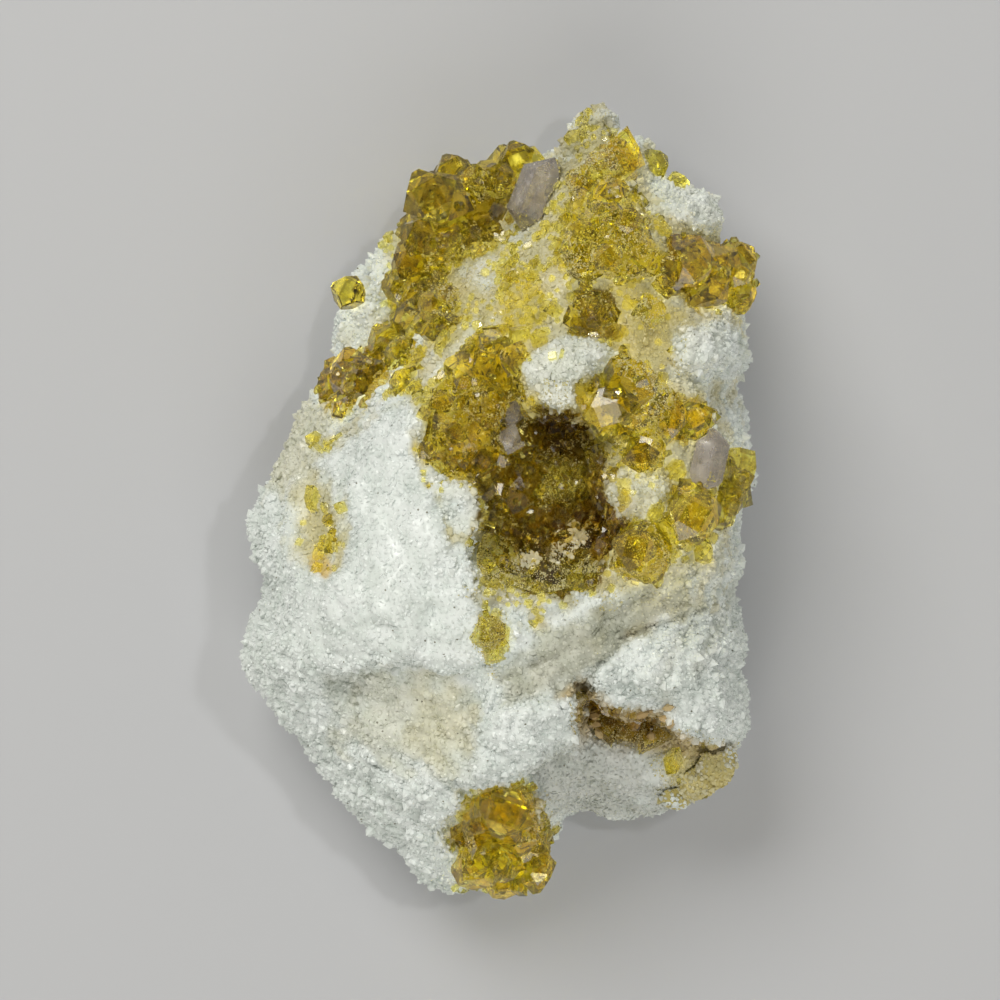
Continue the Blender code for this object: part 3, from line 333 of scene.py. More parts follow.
# Barite's axial ratio, and each habit's faces with their distance from the centre.
AXES = (1.63, 1.0, 1.31)
BASE, SIDES, SIDE_DOME, END_DOME = (0, 0, 1), (2, 1, 0), (0, 1, 1), (1, 0, 1)
HABITS = {
    "block": {BASE: 0.40, SIDES: 0.43, SIDE_DOME: 0.47, END_DOME: 0.46},
    "table": {BASE: 0.22, SIDES: 0.42, END_DOME: 0.40},
    "prism": {BASE: 0.30, SIDES: 0.30, END_DOME: 0.50},
}
TINY = 1e-6
SLIVER = 1e-12  # a triangle smaller than this has no normal of its own
CORNER_WELD = 0.01
GLOSS = {  # tints of the skin, absorbed colour and its density per metre, least and most frost
    "amber": (((0.9, 0.8, 0.16), (1.0, 0.92, 0.36)), (0.84, 0.77, 0.0), 480.0, (0.02, 0.22)),
    "golden": (((0.9, 0.82, 0.18), (1.0, 0.94, 0.38)), (0.85, 0.81, 0.0), 480.0, (0.02, 0.24)),
    "lemon": (((0.93, 0.84, 0.25), (1.0, 0.95, 0.46)), (0.93, 0.875, 0.0), 420.0, (0.02, 0.26)),
    "honey": (((0.97, 0.87, 0.16), (1.0, 0.95, 0.34)), (0.94, 0.875, 0.0), 240.0, (0.02, 0.22)),
    # the brown kind is darker partly as painted shade, for the hollow and the recess
    "brown": (((0.86, 0.77, 0.18), (1.0, 0.93, 0.34)), (0.81, 0.735, 0.0), 400.0, (0.02, 0.26)),
    "olive": (((0.88, 0.8, 0.18), (1.0, 0.94, 0.38)), (0.83, 0.775, 0.0), 400.0, (0.02, 0.26)),
}
BARITE_IOR = 1.64
QUARTZ_IOR = 1.545
# Where the crystals stand deep in shade, and how far each colour is dimmed there.
SHADES = patches(
    (6.2, 7.2, 2.8, 3, (0.52, 0.37, 0.15), 0.85),
    (5.6, -3.4, 6.5, 2.8, (0.7, 0.55, 0.27), 0.7, 10),
    (10.4, -1.6, 1.8, 4.6, (0.6, 0.46, 0.22), 0.85),
    (-0.8, 28.6, 2.6, 2.2, (0.46, 0.36, 0.18), 0.85, -20),
    (-1.6, 5, 5.6, 6.6, (0.84, 0.78, 0.62), 0.8),
    (-3, -33.8, 1.2, 1.8, (0.66, 0.5, 0.24), 0.7, -25),
    (12.5, -21.8, 5.6, 2.3, (0.74, 0.58, 0.36), 0.8, -12),
)

# Crystals that stand out one by one: place in plan, full sizes, turn in plan and tilt.
Setting = namedtuple("Setting", "x y length width height turn tilt kind")
SET_CRYSTALS = {
    "lemon": (
        (-3, 26, 2.1, 2, 1.7, 20, 15), (-1.4, 25.6, 2.8, 1.1, 1.2, -8, 0),
        (19.2, 8.1, 2.8, 2.3, 1.4, 35, 10), (12.2, 1.4, 1.9, 1.7, 1.5, 40, 20),
        (23.4, 0.6, 2, 1.7, 1.5, 60, 10), (19.7, -4.8, 1.1, 1, 1, 10, 20),
        (-11.6, 15.6, 1.9, 1.6, 1.5, 30, 10), (-13.8, 23.8, 1.1, 1, 1, 0, 10),
        (3.9, 28.4, 1.5, 1.2, 1.1, 40, 20), (24.2, 19.6, 2.2, 1.6, 1.6, 60, 0),
        (-3.8, 24.6, 1.6, 1.4, 1.3, 30, 10), (-6.2, 22.4, 1.8, 1.4, 1.4, 70, 10),
        (16.2, 21.4, 2.2, 1.8, 1.6, 0, 10), (-7.2, 5, 2.2, 1.8, 1.6, 45, 10),
        (-1.4, -6.6, 1.8, 1.4, 1.4, 10, 15), (9.4, 11, 2.4, 1, 1.4, 85, 20),
        (15.3, -1, 2.2, 1.5, 1.6, 70, 10), (12.2, 0.1, 2, 1.5, 1.5, 80, 15),
        (24, 2, 2.4, 2, 1.8, 15, 0), (23, -0.4, 2.4, 1.8, 1.8, 80, 5),
    ),
    "amber": (
        (17.3, 7.8, 3.4, 1.7, 1.6, 80, 10), (14.1, 4.4, 3.2, 2.6, 2.4, 10, 0),
        (-9, 14.9, 2.4, 1.5, 1.6, 60, 15), (8, 29.6, 1.6, 1.3, 1.4, 75, 10),
        (2.7, 2.9, 1.7, 1.3, 1.4, 10, 30), (1.6, 14, 3.4, 2.8, 2.4, 70, 10),
        (-9, 23.8, 3.4, 3, 2.6, -30, 0), (11.2, 30.4, 2.6, 2, 2, 10, 10),
        (9.4, 18.4, 3.2, 2.4, 2.4, 85, 10), (11.4, 16.6, 2.4, 1.8, 1.8, 30, 10),
        (1.8, 2.2, 3.4, 2.6, 2.4, 35, 15), (-0.2, 0.8, 2.6, 2, 2, 80, 10),
        (10, 4.6, 3, 2.8, 2.4, 15, 10),
    ),
    "honey": (
        (-7, 30.5, 5.6, 5, 3.6, 30, 0), (-6.6, 19.6, 3.2, 2.6, 2.2, 0, 10),
        (19, 23, 4.2, 3.2, 2.8, 35, 5), (23.8, 22.4, 2.6, 2.2, 2, 60, 0),
        (18.9, -1.5, 5.2, 4.2, 3.4, 60, 5), (13.2, -4.6, 4.6, 3.8, 3.2, 75, 10),
        (0.4, -31.4, 5.8, 4.2, 3.2, -20, 8), (3.9, -36.6, 4, 2.6, 2.6, 85, 0),
    ),
    "olive": (
        (-5, 33.3, 3.4, 2.8, 2.6, 25, -8), (-3.2, 32.4, 3, 2.4, 2.4, 50, 10),
        (0.2, 32.2, 3.2, 2.6, 2.4, 80, 10), (-8, 26.6, 4.2, 3.4, 3, 65, 5),
        (-5.4, 26, 3.4, 2.8, 2.6, 10, 15), (-5.6, 9.8, 2.4, 2, 1.8, 20, 10),
        (-2.2, 3.9, 2.6, 2.2, 2, 60, 10), (0.2, -6.2, 2, 1.6, 1.5, 70, 15),
    ),
    "golden": (
        (1.6, 34.6, 3.4, 2.8, 2.4, 20, 0), (10.8, 24, 3.4, 2.6, 2.4, 40, 10),
        (8.4, 26.6, 2.8, 2.2, 2, -20, 10), (12.6, 27.6, 3, 2.4, 2.2, 75, 10),
        (-3.6, 11.6, 2, 1.6, 1.6, 75, 10), (-4.4, 6.6, 2.2, 1.8, 1.8, -20, 10),
        (-1.2, -4.2, 2.2, 1.7, 1.6, 35, 15), (10.8, 9.2, 5, 4, 3.2, 20, -14),
        (13.8, 4, 3.4, 2.2, 2, 5, 5), (-2.4, -36.6, 3, 2.4, 2.2, 30, 10),
        (-0.1, -36.8, 2.8, 2.2, 2.2, 70, 12), (0.2, -38.6, 2.2, 1.8, 1.6, 10, 10),
    ),
}
SETTINGS = [Setting(*row, kind) for kind, rows in SET_CRYSTALS.items() for row in rows]
FROSTED = [
    Setting(9.4, 0.7, 1.1, 0.2, 0.2, -60, 20, "plate"),
    Setting(3.4, -29.0, 1.1, 0.7, 0.3, 30, 30, "plate"),
]
SMOKY = [
    Setting(1.2, 8.4, 2.8, 2.0, 1.6, 78, 5, "smoky"),
    Setting(1.0, 6.2, 2.6, 1.8, 1.6, 70, 5, "smoky"),
]
ROUND_CLUSTER = (6.0, 2.2, 2.3, 16, 1.5, "olive")  # place, reach, count, size and kind
ROUND_SHAPE = (1.1, 0.35, 0.8, 0.9, 25)  # width in the middle, how much less at the edge, the
# other sizes as shares of it, and tilt
CLEAR = (1.0, 1.0, 1.0)
FROST_TINT = (0.78, 0.77, 0.64)
# Patches of pale scales on the floor of the hollow: place, half widths and turn in plan.
FLAKED = ((6.9, -4.8, 2.3, 1, 38), (3, -6, 1.2, 0.8, 10), (7.6, -3.2, 0.7, 1.3, 20))
FLAKES = 34  # in each patch
# Settings that are drawn at random, with a range in place of each value that varies.
FLAKE = Setting(0, 0, (0.35, 0.8), (0.25, 0.5), 0.15, (0, 180), (-35, 35), "plate")
LATH = Setting((-1, 9.5), (-6.4, -1.2), (0.9, 2.6), 0.16, 0.2, (0, 180), (-30, 40), "lemon")
PRISM = Setting((8.5, 17.5), (-24, -20.4), (0.8, 1.6), (0.6, 0.9), 0.8, (0, 180), 20, "prism")
STREWN = 16  # how many laths lie on the hollow's floor, and tan prisms under the overhang
# Where sugar lies thick on whatever is there, and its colour.
FROSTS = patches(
    (20.4, -27.4, 3.8, 3.4, STRAW, 0.9), (15.7, 10.3, 1.9, 1.9, CREAM, 0.8),
    (6, 2.2, 2.3, 2.4, DRAB, 0.5), (5.6, 9.8, 1.9, 1.9, DRAB, 0.8),
    (9.5, 36.6, 3, 4.4, CREAM, 0.8), (13.6, 1, 2.8, 3.2, CREAM, 0.8),
    (6.8, -4.8, 2.6, 1.1, PALE, 0.95, 35), (2.6, -6, 1.3, 0.9, PALE, 0.95, 10),
    (-0.4, -5.4, 1.6, 2.6, DUSTED, 0.5), (9.6, -7.4, 2.6, 2.6, BUFF, 0.6),
    (3, -8.2, 5.4, 1.6, PALE, 0.55, 8), (-0.8, -13.2, 1.6, 2.8, DUSTED, 0.95),
    (2, 22.5, 9, 4.5, CREAM, 0.55, 10), (13.8, 17, 3.6, 5.6, CREAM, 0.55),
    (11, 25, 5, 5, STRAW, 0.25, 20), (15.5, 7.6, 1.8, 2, STRAW, 0.45),
    (10.4, 4.8, 1.6, 1.6, STRAW, 0.35), (6.8, 7, 2, 2, OCHRE, 0.25),
    (-4.4, 9.6, 2.4, 2.4, DRAB, 0.3), (0.9, 7.8, 1.6, 2.4, DRAB, 0.6, -15),
    (12.5, -22.8, 5.4, 1.5, TAN, 0.6, -14), (3.7, -32.2, 1.2, 2.6, TAN, 0.8),
    (-3.6, -34.4, 1.4, 1.6, OCHRE, 0.3), (14.8, -5.4, 1.9, 2.2, STRAW, 0.5),
    (18.9, -1, 1.8, 2, STRAW, 0.2), (-2, 31.6, 2.6, 1.6, DRAB, 0.35),
    (5.8, 29, 1.4, 3, CREAM, 0.55, -20),
)
GOLDEN_ANGLE = 137.5
SKY = 100.0  # surfaces are looked at from this height
UPRIGHT = 1.0  # how far a set crystal stands up straight rather than square to the surface
SEATED = 0.12  # how far its middle stands out, as a share of its height

# ---- light and camera
FRAME_WIDTH = 100.0  # what the camera sees at the height FRAME_LEVEL
FRAME_LEVEL = 22.0
CAMERA_HEIGHT = 1100.0
SENSOR = 36.0
FLOOR_REACH = 3000.0
FLOOR_COLOUR = (0.50, 0.505, 0.53)
WARM = (1.0, 0.985, 0.93)
SKY_COLOUR = (1.0, 0.98, 0.88)
WORLD_FADE = (0.45, 0.90, 0.58, 0.08)  # heights of the sky, and the light at each
LIGHTS = (  # place in metres, width, power and colour
    ("key_light", (-0.20, 0.30, 0.52), 0.34, 2.1, WARM),
    ("fill_light", (0.02, -0.42, 0.50), 0.44, 1.2, WARM),
    ("glint_light", (0.22, 0.10, 0.70), 0.05, 0.6, CLEAR),
)
AIM = (0.0, 0.0, 0.02)

Surface = namedtuple("Surface", "points triangles")
Grains = namedtuple("Grains", "places frames sizes colours")


# ---- meshes
def link(name, data):
    thing = bpy.data.objects.new(name, data)
    bpy.context.scene.collection.objects.link(thing)
    return thing


def place_points(mesh, points):
    mesh.vertices.foreach_set("co", (points * MM).astype(np.float32).ravel())
    mesh.update()


def triangle_object(name, points, triangles):
    """An object from arrays of points, in mm, and of triangles."""
    mesh = bpy.data.meshes.new(name)
    mesh.vertices.add(len(points))
    place_points(mesh, points)
    mesh.loops.add(3 * len(triangles))
    mesh.loops.foreach_set("vertex_index", triangles.astype(np.int32).ravel())
    mesh.polygons.add(len(triangles))
    mesh.polygons.foreach_set("loop_start", np.arange(0, 3 * len(triangles), 3, dtype=np.int32))
    mesh.update(calc_edges=True)
    mesh.validate()
    return link(name, mesh)


def read(elements, key, kind=np.float32):
    """Three numbers for each element, as an array."""
    flat = np.empty(3 * len(elements), kind)
    elements.foreach_get(key, flat)
    return flat.reshape(-1, 3)


def points_of(thing):
    return read(thing.data.vertices, "co").astype(float) * TO_MM


def surface_of(thing):
    thing.data.calc_loop_triangles()
    return Surface(points_of(thing), read(thing.data.loop_triangles, "vertices", np.int32))


def joined_surface(things):
    """The triangles of several objects as one surface."""
    parts = [surface_of(thing) for thing in things]
    starts = np.cumsum([0] + [len(part.points) for part in parts])
    return Surface(np.vstack([part.points for part in parts]),
                   np.vstack([part.triangles + start for part, start in zip(parts, starts)]))


def tree_of(surface):
    return BVHTree.FromPolygons(surface.points.tolist(), surface.triangles.tolist())


def welded(node):
    """A CAD node's skin, with the vertices that its faces share made one."""
    skin = bmesh.new()
    skin.from_mesh(node.data)
    bmesh.ops.remove_doubles(skin, verts=skin.verts, dist=WELD * MM)
    return skin


def remeshed(node, name, voxel, smoothing):
    """Even small faces in place of the CAD solid's large ones, with its edges a little eased."""
    skin = welded(node)
    thing = link(name, bpy.data.meshes.new(name))
    skin.to_mesh(thing.data)
    skin.free()
    remesh = thing.modifiers.new("remesh", "REMESH")
    remesh.mode = "VOXEL"
    remesh.voxel_size = voxel * MM
    smooth = thing.modifiers.new("smooth", "SMOOTH")
    smooth.factor = SMOOTH_FACTOR
    smooth.iterations = smoothing
    bpy.context.view_layer.update()
    evaluated = thing.evaluated_get(bpy.context.evaluated_depsgraph_get())
    mesh = bpy.data.meshes.new_from_object(evaluated)
    thing.modifiers.clear()
    old, thing.data = thing.data, mesh
    bpy.data.meshes.remove(old)
    return thing


def noise_at(points, span, offset=0.0):
    """Smooth noise between about -1 and 1 at points in mm, from another place with each offset."""
    shift = Vector((offset, -offset, offset))
    return np.array([noise.noise(Vector(point) / span + shift) for point in points])


def lumps_at(points, span, offset):
    """Rounded lumps with creases between them: 1 on top of a lump and 0 in a crease."""
    shift = Vector((offset, offset, -offset))
    nearest = np.array([noise.voronoi(Vector(point) / span + shift)[0][0] for point in points])
    return np.sqrt(np.clip(1.0 - (nearest / LUMP_REACH) ** 2, 0.0, 1.0))


def paint(thing, colours):
    """Stores one colour for each vertex, for the material to read."""
    layer = thing.data.color_attributes.new("tone", "FLOAT_COLOR", "POINT")
    full = np.hstack([colours, np.ones((len(colours), 1))])
    layer.data.foreach_set("color", full.astype(np.float32).ravel())


# ---- colour in plan
def laid_over(colours, share, colour):
    """Colours changed towards another colour by a share at each point."""
    return colours + share[:, None] * (np.array(colour) - colours)


def top_at(tree, x, y):
    """The highest place on a surface at a place in plan, and the normal there."""
    place, normal, _, _ = tree.ray_cast(Vector((x, y, SKY)), Vector((0.0, 0.0, -1.0)))
    return place, normal


def patch_tops(node):
    """The height of the quartz at the middle of each patch of colour or of crystals."""
    tree = tree_of(surface_of(node))
    tops = {patch: top_at(tree, patch.x, patch.y)[0] for patch in STAINS + GROWTHS}
    return {patch: top.z if top is not None else 0.0 for patch, top in tops.items()}


def patch_reach(points, patch):
    """How far each point lies from a patch's middle, where 1 is the patch's edge.

    A patch has no end in height, but one on the quartz fades out some way down the walls.
    """
    turn = math.radians(patch.turn)
    x, y = points[:, 0] - patch.x, points[:, 1] - patch.y
    along = (x * math.cos(turn) + y * math.sin(turn)) / patch.half_x
    across = (y * math.cos(turn) - x * math.sin(turn)) / patch.half_y
    depth = WALL_FREE + max(patch.half_x, patch.half_y)
    below = np.clip(TOPS.get(patch, 0.0) - depth - points[:, 2], 0.0, None) / WALL_FADE
    return np.sqrt(along**2 + across**2 + below**2)


def soft_inside(reach, width):
    """1 well inside a patch and 0 well outside it, with a soft edge."""
    return np.clip((1.0 + width / 2 - reach) / width, 0.0, 1.0)


def route_distance(points, route):
    """How far each point lies in plan from a route of straight runs, in mm."""
    nearest = np.full(len(points), np.inf)
    for start, end in zip(route, route[1:]):
        run = np.subtract(end, start)
        apart = points[:, :2] - start
        share = np.clip((apart @ run) / (run @ run), 0.0, 1.0)
        nearest = np.minimum(nearest, np.linalg.norm(apart - share[:, None] * run, axis=1))
    return nearest


def inside_outline(points, outline):
    """True for the points whose plan lies inside an outline."""
    inside = np.zeros(len(points), bool)
    x, y = points[:, 0], points[:, 1]
    for (x1, y1), (x2, y2) in zip(outline, outline[1:] + outline[:1]):
        crossed = (y1 > y) != (y2 > y)
        inside ^= crossed & (x < x1 + (y - y1) * (x2 - x1) / (y2 - y1 or 1.0))
    return inside


def crust_height(points, crust, edge):
    """0 outside a crust and 1 inside it, over an edge of this width in mm."""
    near = route_distance(points, crust.outline + crust.outline[:1])
    near = np.where(inside_outline(points, crust.outline), near, -near)
    some = near > -CRUST_RAGGED * 2
    near[some] += CRUST_RAGGED * noise_at(points[some] * (1, 1, 0), CRUST_SPAN, 2.0)
    return np.sqrt(np.clip(near / edge, 0.0, 1.0))


def crease_depth(points, crease):
    """1 in the middle of a crease and 0 away from it, with ragged sides and shallow stretches."""
    near = route_distance(points, crease.route)
    depth = np.zeros(len(points))
    some = near < CREASE_END * crease.width
    ragged = noise_at(points[some] * (1, 1, 0), CRUST_SPAN, 9.0)
    near = near[some] + CREASE_RAGGED * ragged
    mean, change, least = CREASE_BREAKS
    broken = mean + change * noise_at(points[some] * (1, 1, 0), CREASE_SPAN, 4.0)
    depth[some] = np.clip(broken, least, 1.0) * np.exp(-((near / crease.width) ** 2))
    return depth


def growth_at(points, ragged):
    """The share of barite at each point, and the number of its kind."""
    share = np.zeros(len(points))
    kind = np.zeros(len(points), int)
    for growth in GROWTHS:
        here = growth.share * soft_inside(patch_reach(points, growth) + ragged, GROWTH_EDGE)
        kind[(here > share - KIND_LEAD) & (here > 0.0)] = KINDS.index(growth.kind)
        share = np.maximum(share, here)
    for crust in CRUSTS:
        share *= 1.0 - crust.white * crust_height(points, crust, PAINT_EDGE)
    return share, kind


def barite_share(points):
    return growth_at(points, STAIN_RAGGED * noise_at(points, STAIN_SPAN))


def stained(points):
    """The quartz's colour at points from the soft patches in plan, some of it painted shade."""
    ragged = STAIN_RAGGED * noise_at(points, STAIN_SPAN)
    colours = np.tile(WHITE, (len(points), 1))
    for stain in STAINS:
        inside = soft_inside(patch_reach(points, stain) + ragged, STAIN_EDGE)
        colours = laid_over(colours, stain.strength * inside, stain.colour)
    share, kind = growth_at(points, ragged)
    under = np.array([UNDER[name] for name in KINDS])[kind]
    colours = laid_over(colours, share**UNDER_FADE, under)
    for crust in CRUSTS:
        share = crust.white * crust_height(points, crust, PAINT_EDGE)
        colours = laid_over(colours, share, WHITE)
    # painted shade along the grey gaps and ledge lines; the ochre and buff ones give the quartz's
    # own colour
    for crease in CREASES:
        colours = laid_over(colours, CREASE_SHADE_AND_TINT * crease_depth(points, crease), crease.colour)
    return colours


def shade_at(points):
    """How much light reaches the crystals at each point, for each colour."""
    colours = np.ones((len(points), 3))
    for shade in SHADES:
        share = shade.strength * soft_inside(patch_reach(points, shade), SHADE_EDGE)
        colours += share[:, None] * (np.array(shade.colour) - 1.0) * colours
    return colours


def calm_share(points):
    """How even the quartz is at each point: the smooth face and the soft ground, not the lumps."""
    calm = np.max([patch.strength * soft_inside(patch_reach(points, patch), GROWTH_EDGE)
                   for patch in CALM], axis=0)
    lumpy = np.max([crust_height(points, crust, LUMPY_EDGE) for crust in CRUSTS[1:]], axis=0)
    return np.maximum(crust_height(points, FRONT_PLATE, PLATE_EDGE), calm * (1.0 - lumpy))


# ---- scattering
def kept_apart(points, spacing):
    """Indices of points, in order, each at least its own spacing from those before it."""
    tree = KDTree(len(points))
    for index, point in enumerate(points):
        tree.insert(point, index)
    tree.balance()
    free = np.ones(len(points), bool)
    kept = []
    for index, point in enumerate(points):
        if not free[index]:
            continue
        kept.append(index)
        for _, other, _ in tree.find_range(point, spacing[index]):
            free[other] = False
    return kept


def strewn(surface, spacing_at, dice):
    """Points on a surface and the normals there. spacing_at gives how far apart; 0 is none."""
    corners = surface.points[surface.triangles]
    first, second = corners[:, 1] - corners[:, 0], corners[:, 2] - corners[:, 0]
    across = np.cross(first, second)
    doubled = np.linalg.norm(across, axis=1)
    normals = across / np.maximum(doubled, SLIVER)[:, None]
    spacing = spacing_at(corners.mean(axis=1), normals)
    weight = np.where(spacing > 0.0, doubled / np.maximum(spacing, TINY) ** 2, 0.0)
    count = int(CANDIDATES * weight.sum() / 2.0)
    chosen = dice.choice(len(weight), count, p=weight / weight.sum())
    share = np.sort(dice.random((count, 2)), axis=1)
    points = corners[chosen, 0] + share[:, :1] * first[chosen]
    points += (1.0 - share[:, 1:]) * second[chosen]
    kept = kept_apart(points, spacing[chosen])
    return points[kept], normals[chosen][kept]


def skewed(kind, shape, skew, dice):
    """Sizes from a kind's least to its most, more of them small than large."""
    return kind.least + (kind.most - kind.least) * dice.random(shape) ** skew


def frames_on(normals, lean, dice):
    """Rotations whose third axis leans at random from each normal."""
    up = normals + dice.normal(0.0, lean, normals.shape)
    up /= np.linalg.norm(up, axis=1)[:, None]
    side = np.cross(dice.normal(0.0, 1.0, up.shape), up)
    side /= np.linalg.norm(side, axis=1)[:, None]
    return np.stack([side, np.cross(up, side), up], axis=2)


def stamped(form, grains):
    """Copies of a form, as one set of points and one of triangles."""
    points = form.points[None] * grains.sizes[:, None, :]
    points = np.einsum("nij,nkj->nki", grains.frames, points) + grains.places[:, None]
    steps = np.arange(len(points)) * len(form.points)
    triangles = form.triangles[None] + steps[:, None, None]
    return points.reshape(-1, 3), triangles.reshape(-1, 3)


def some_of(grains, chosen):
    return Grains(*(values[chosen] for values in grains))


def stamp_pieces(name, forms, grains, material, slot, dice):
    """Joined copies of several forms, chosen at random, as one piece."""
    kinds = dice.integers(0, len(forms), len(grains.places))
    points, triangles, tones, start = [], [], [], 0
    for index, form in enumerate(forms):
        mine = some_of(grains, kinds == index)
        some, corners = stamped(form, mine)
        points.append(some)
        triangles.append(corners + start)
        tones.append(np.repeat(mine.colours, len(form.points), axis=0))
        start += len(some)
    points = np.vstack(points)
    points[:, 2] = np.maximum(points[:, 2], 0.0)
    thing = triangle_object(name, points, np.vstack(triangles))
    assert len(thing.data.polygons) < MOST_TRIANGLES, name
    paint(thing, np.vstack(tones))
    thing.data.shade_flat()
    return finish(thing, material, slot)


def stamp_halves(name, forms, grains, material, dice):
    """Quartz grains as two pieces, above and below the half line in plan."""
    upper = grains.places[:, 1] > HALFWAY
    for half, chosen in (("upper", upper), ("lower", ~upper)):
        if chosen.any():
            some = some_of(grains, chosen)
            stamp_pieces(f"{name}_{half}", forms, some, material, "quartz", dice)


# ---- forms
def turned_form(rings, sides=6):
    """A closed form from rings of (half width, height), with a tip at each end."""
    points = [(0.0, 0.0, rings[0][1])]
    for width, height in rings[1:-1]:
        for side in range(sides):
            angle = 2.0 * math.pi * side / sides
            points.append((width * math.cos(angle), width * math.sin(angle), height))
    points.append((rings[-1][0], 0.0, rings[-1][1]))
    triangles = []
    for side in range(sides):
        following = (side + 1) % sides
        triangles.append((0, 1 + following, 1 + side))
        for ring in range(len(rings) - 3):
            low, high = 1 + ring * sides, 1 + (ring + 1) * sides
            triangles.append((low + side, low + following, high + following))
            triangles.append((low + side, high + following, high + side))
        top = 1 + (len(rings) - 3) * sides
        triangles.append((top + side, top + following, len(points) - 1))
    return Surface(np.array(points), np.array(triangles))


def directions(face):
    """The outward directions of a crystal form's faces, one for each choice of signs."""
    slope = [index / axis for index, axis in zip(face, AXES)]
    signs = [(-1, 1) if value else (1,) for value in slope]
    found = np.array([(a * slope[0], b * slope[1], c * slope[2])
                      for a in signs[0] for b in signs[1] for c in signs[2]])
    return found / np.linalg.norm(found, axis=1)[:, None]


def crystal_form(faces):
    """The convex form that the faces of a habit enclose."""
    normals = np.vstack([directions(face) for face in faces])
    reach = np.concatenate([np.full(len(directions(f)), d) for f, d in faces.items()])
    shell = bmesh.new()
    for trio in combinations(range(len(normals)), 3):
        three = normals[list(trio)]
        if abs(np.linalg.det(three)) < TINY:
            continue
        corner = np.linalg.solve(three, reach[list(trio)])
        if (normals @ corner <= reach + TINY).all():
            shell.verts.new(corner)
    bmesh.ops.remove_doubles(shell, verts=shell.verts, dist=CORNER_WELD)
    bmesh.ops.convex_hull(shell, input=shell.verts)
    bmesh.ops.recalc_face_normals(shell, faces=shell.faces)
    bmesh.ops.triangulate(shell, faces=shell.faces)
    shell.verts.index_update()
    points = np.array([vertex.co for vertex in shell.verts])
    triangles = np.array([[vertex.index for vertex in face.verts] for face in shell.faces])
    shell.free()
    return Surface(points, triangles)


FINE_FORMS = (
    turned_form(((0.0, -0.9), (1.0, 0.0), (0.2, 1.1))),
    turned_form(((0.0, -0.9), (1.0, 0.15), (-0.1, 0.85))),
)
SUGAR_FORMS = (turned_form(((0.0, -0.8), (1.0, 0.0), (0.2, 1.0)), sides=4),)
COARSE_FORMS = (
    turned_form(((0.0, -0.9), (0.85, -0.2), (1.0, 0.25), (0.1, 1.2))),
    turned_form(((0.0, -0.9), (1.0, 0.0), (0.9, 0.45), (0.3, 1.1))),
)
BARITE_FORMS = tuple(crystal_form(faces) for faces in HABITS.values())


# ---- materials
class Nodes:
    """Short calls that add nodes. An input takes another node's output, or a value."""

    def __init__(self, owner):
        owner.use_nodes = True
        self.owner = owner
        self.tree = owner.node_tree

    def fill(self, socket, value):
        if isinstance(value, bpy.types.NodeSocket):
            self.tree.links.new(value, socket)
        elif isinstance(value, tuple):
            socket.default_value = (*value, 1.0)
        else:
            socket.default_value = value

    def add(self, kind, output, inputs=None, **settings):
        node = self.tree.nodes.new(kind)
        for key, value in settings.items():
            setattr(node, key, value)
        for key, value in (inputs or {}).items():
            self.fill(node.inputs[key], value)
        return node.outputs[output]

    def texture(self, kind, output, per_mm, **inputs):
        place = self.add("ShaderNodeTexCoord", "Object")
        return self.add(kind, output, {"Vector": place, "Scale": per_mm * TO_MM, **inputs})

    def noise(self, per_mm, detail=3.0):
        return self.texture("ShaderNodeTexNoise", "Fac", per_mm, Detail=detail, Roughness=0.55)

    def cells(self, per_mm):
        return self.texture("ShaderNodeTexVoronoi", "Distance", per_mm)

    def tone(self):
        """The colour that paint stored."""
        return self.add("ShaderNodeAttribute", "Color", attribute_name="tone")

    def spread(self, source, low, high, to_low=0.0, to_high=1.0, **settings):
        inputs = {"Value": source, "From Min": low, "From Max": high, "To Min": to_low,
                  "To Max": to_high}
        return self.add("ShaderNodeMapRange", "Result", inputs, **settings)

    def mix(self, share, first, second, blend="MIX"):
        return self.add("ShaderNodeMix", 2, {0: share, 6: first, 7: second}, data_type="RGBA",
                        blend_type=blend)

    def bump(self, height, strength, distance):
        inputs = {"Height": height, "Strength": strength, "Distance": distance * MM}
        return self.add("ShaderNodeBump", "Normal", inputs)

    def shade(self, **values):
        """Fills the shader's sockets, and gives the material."""
        shader = self.tree.nodes["Principled BSDF"]
        for key, value in values.items():
            self.fill(shader.inputs[key.replace("_", " ")], value)
        return self.owner


def quartz_material():
    """Sugary white druse: the stored colour, clouded, with dark specks."""
    nodes = Nodes(bpy.data.materials.new("quartz_druse"))
    clouds = nodes.spread(nodes.noise(0.35), 0.35, 0.65)
    clouded = nodes.mix(clouds, (0.88, 0.90, 0.88), CLEAR)
    colour = nodes.mix(1.0, nodes.tone(), clouded, "MULTIPLY")
    specks = nodes.spread(nodes.cells(1.1), 0.10, 0.13, 1.0, 0.0)
    rare = nodes.spread(nodes.noise(0.5, 1.0), 0.52, 0.56)
    both = nodes.mix(1.0, specks, rare, "MULTIPLY")
    colour = nodes.mix(both, colour, (0.20, 0.19, 0.14))
    rough = nodes.spread(nodes.noise(2.0), 0.3, 0.7, 0.22, 0.50)
    normal = nodes.bump(nodes.noise(5.0, 2.0), 0.35, 0.05)
    return nodes.shade(Base_Color=colour, Roughness=rough, Normal=normal, IOR=QUARTZ_IOR)


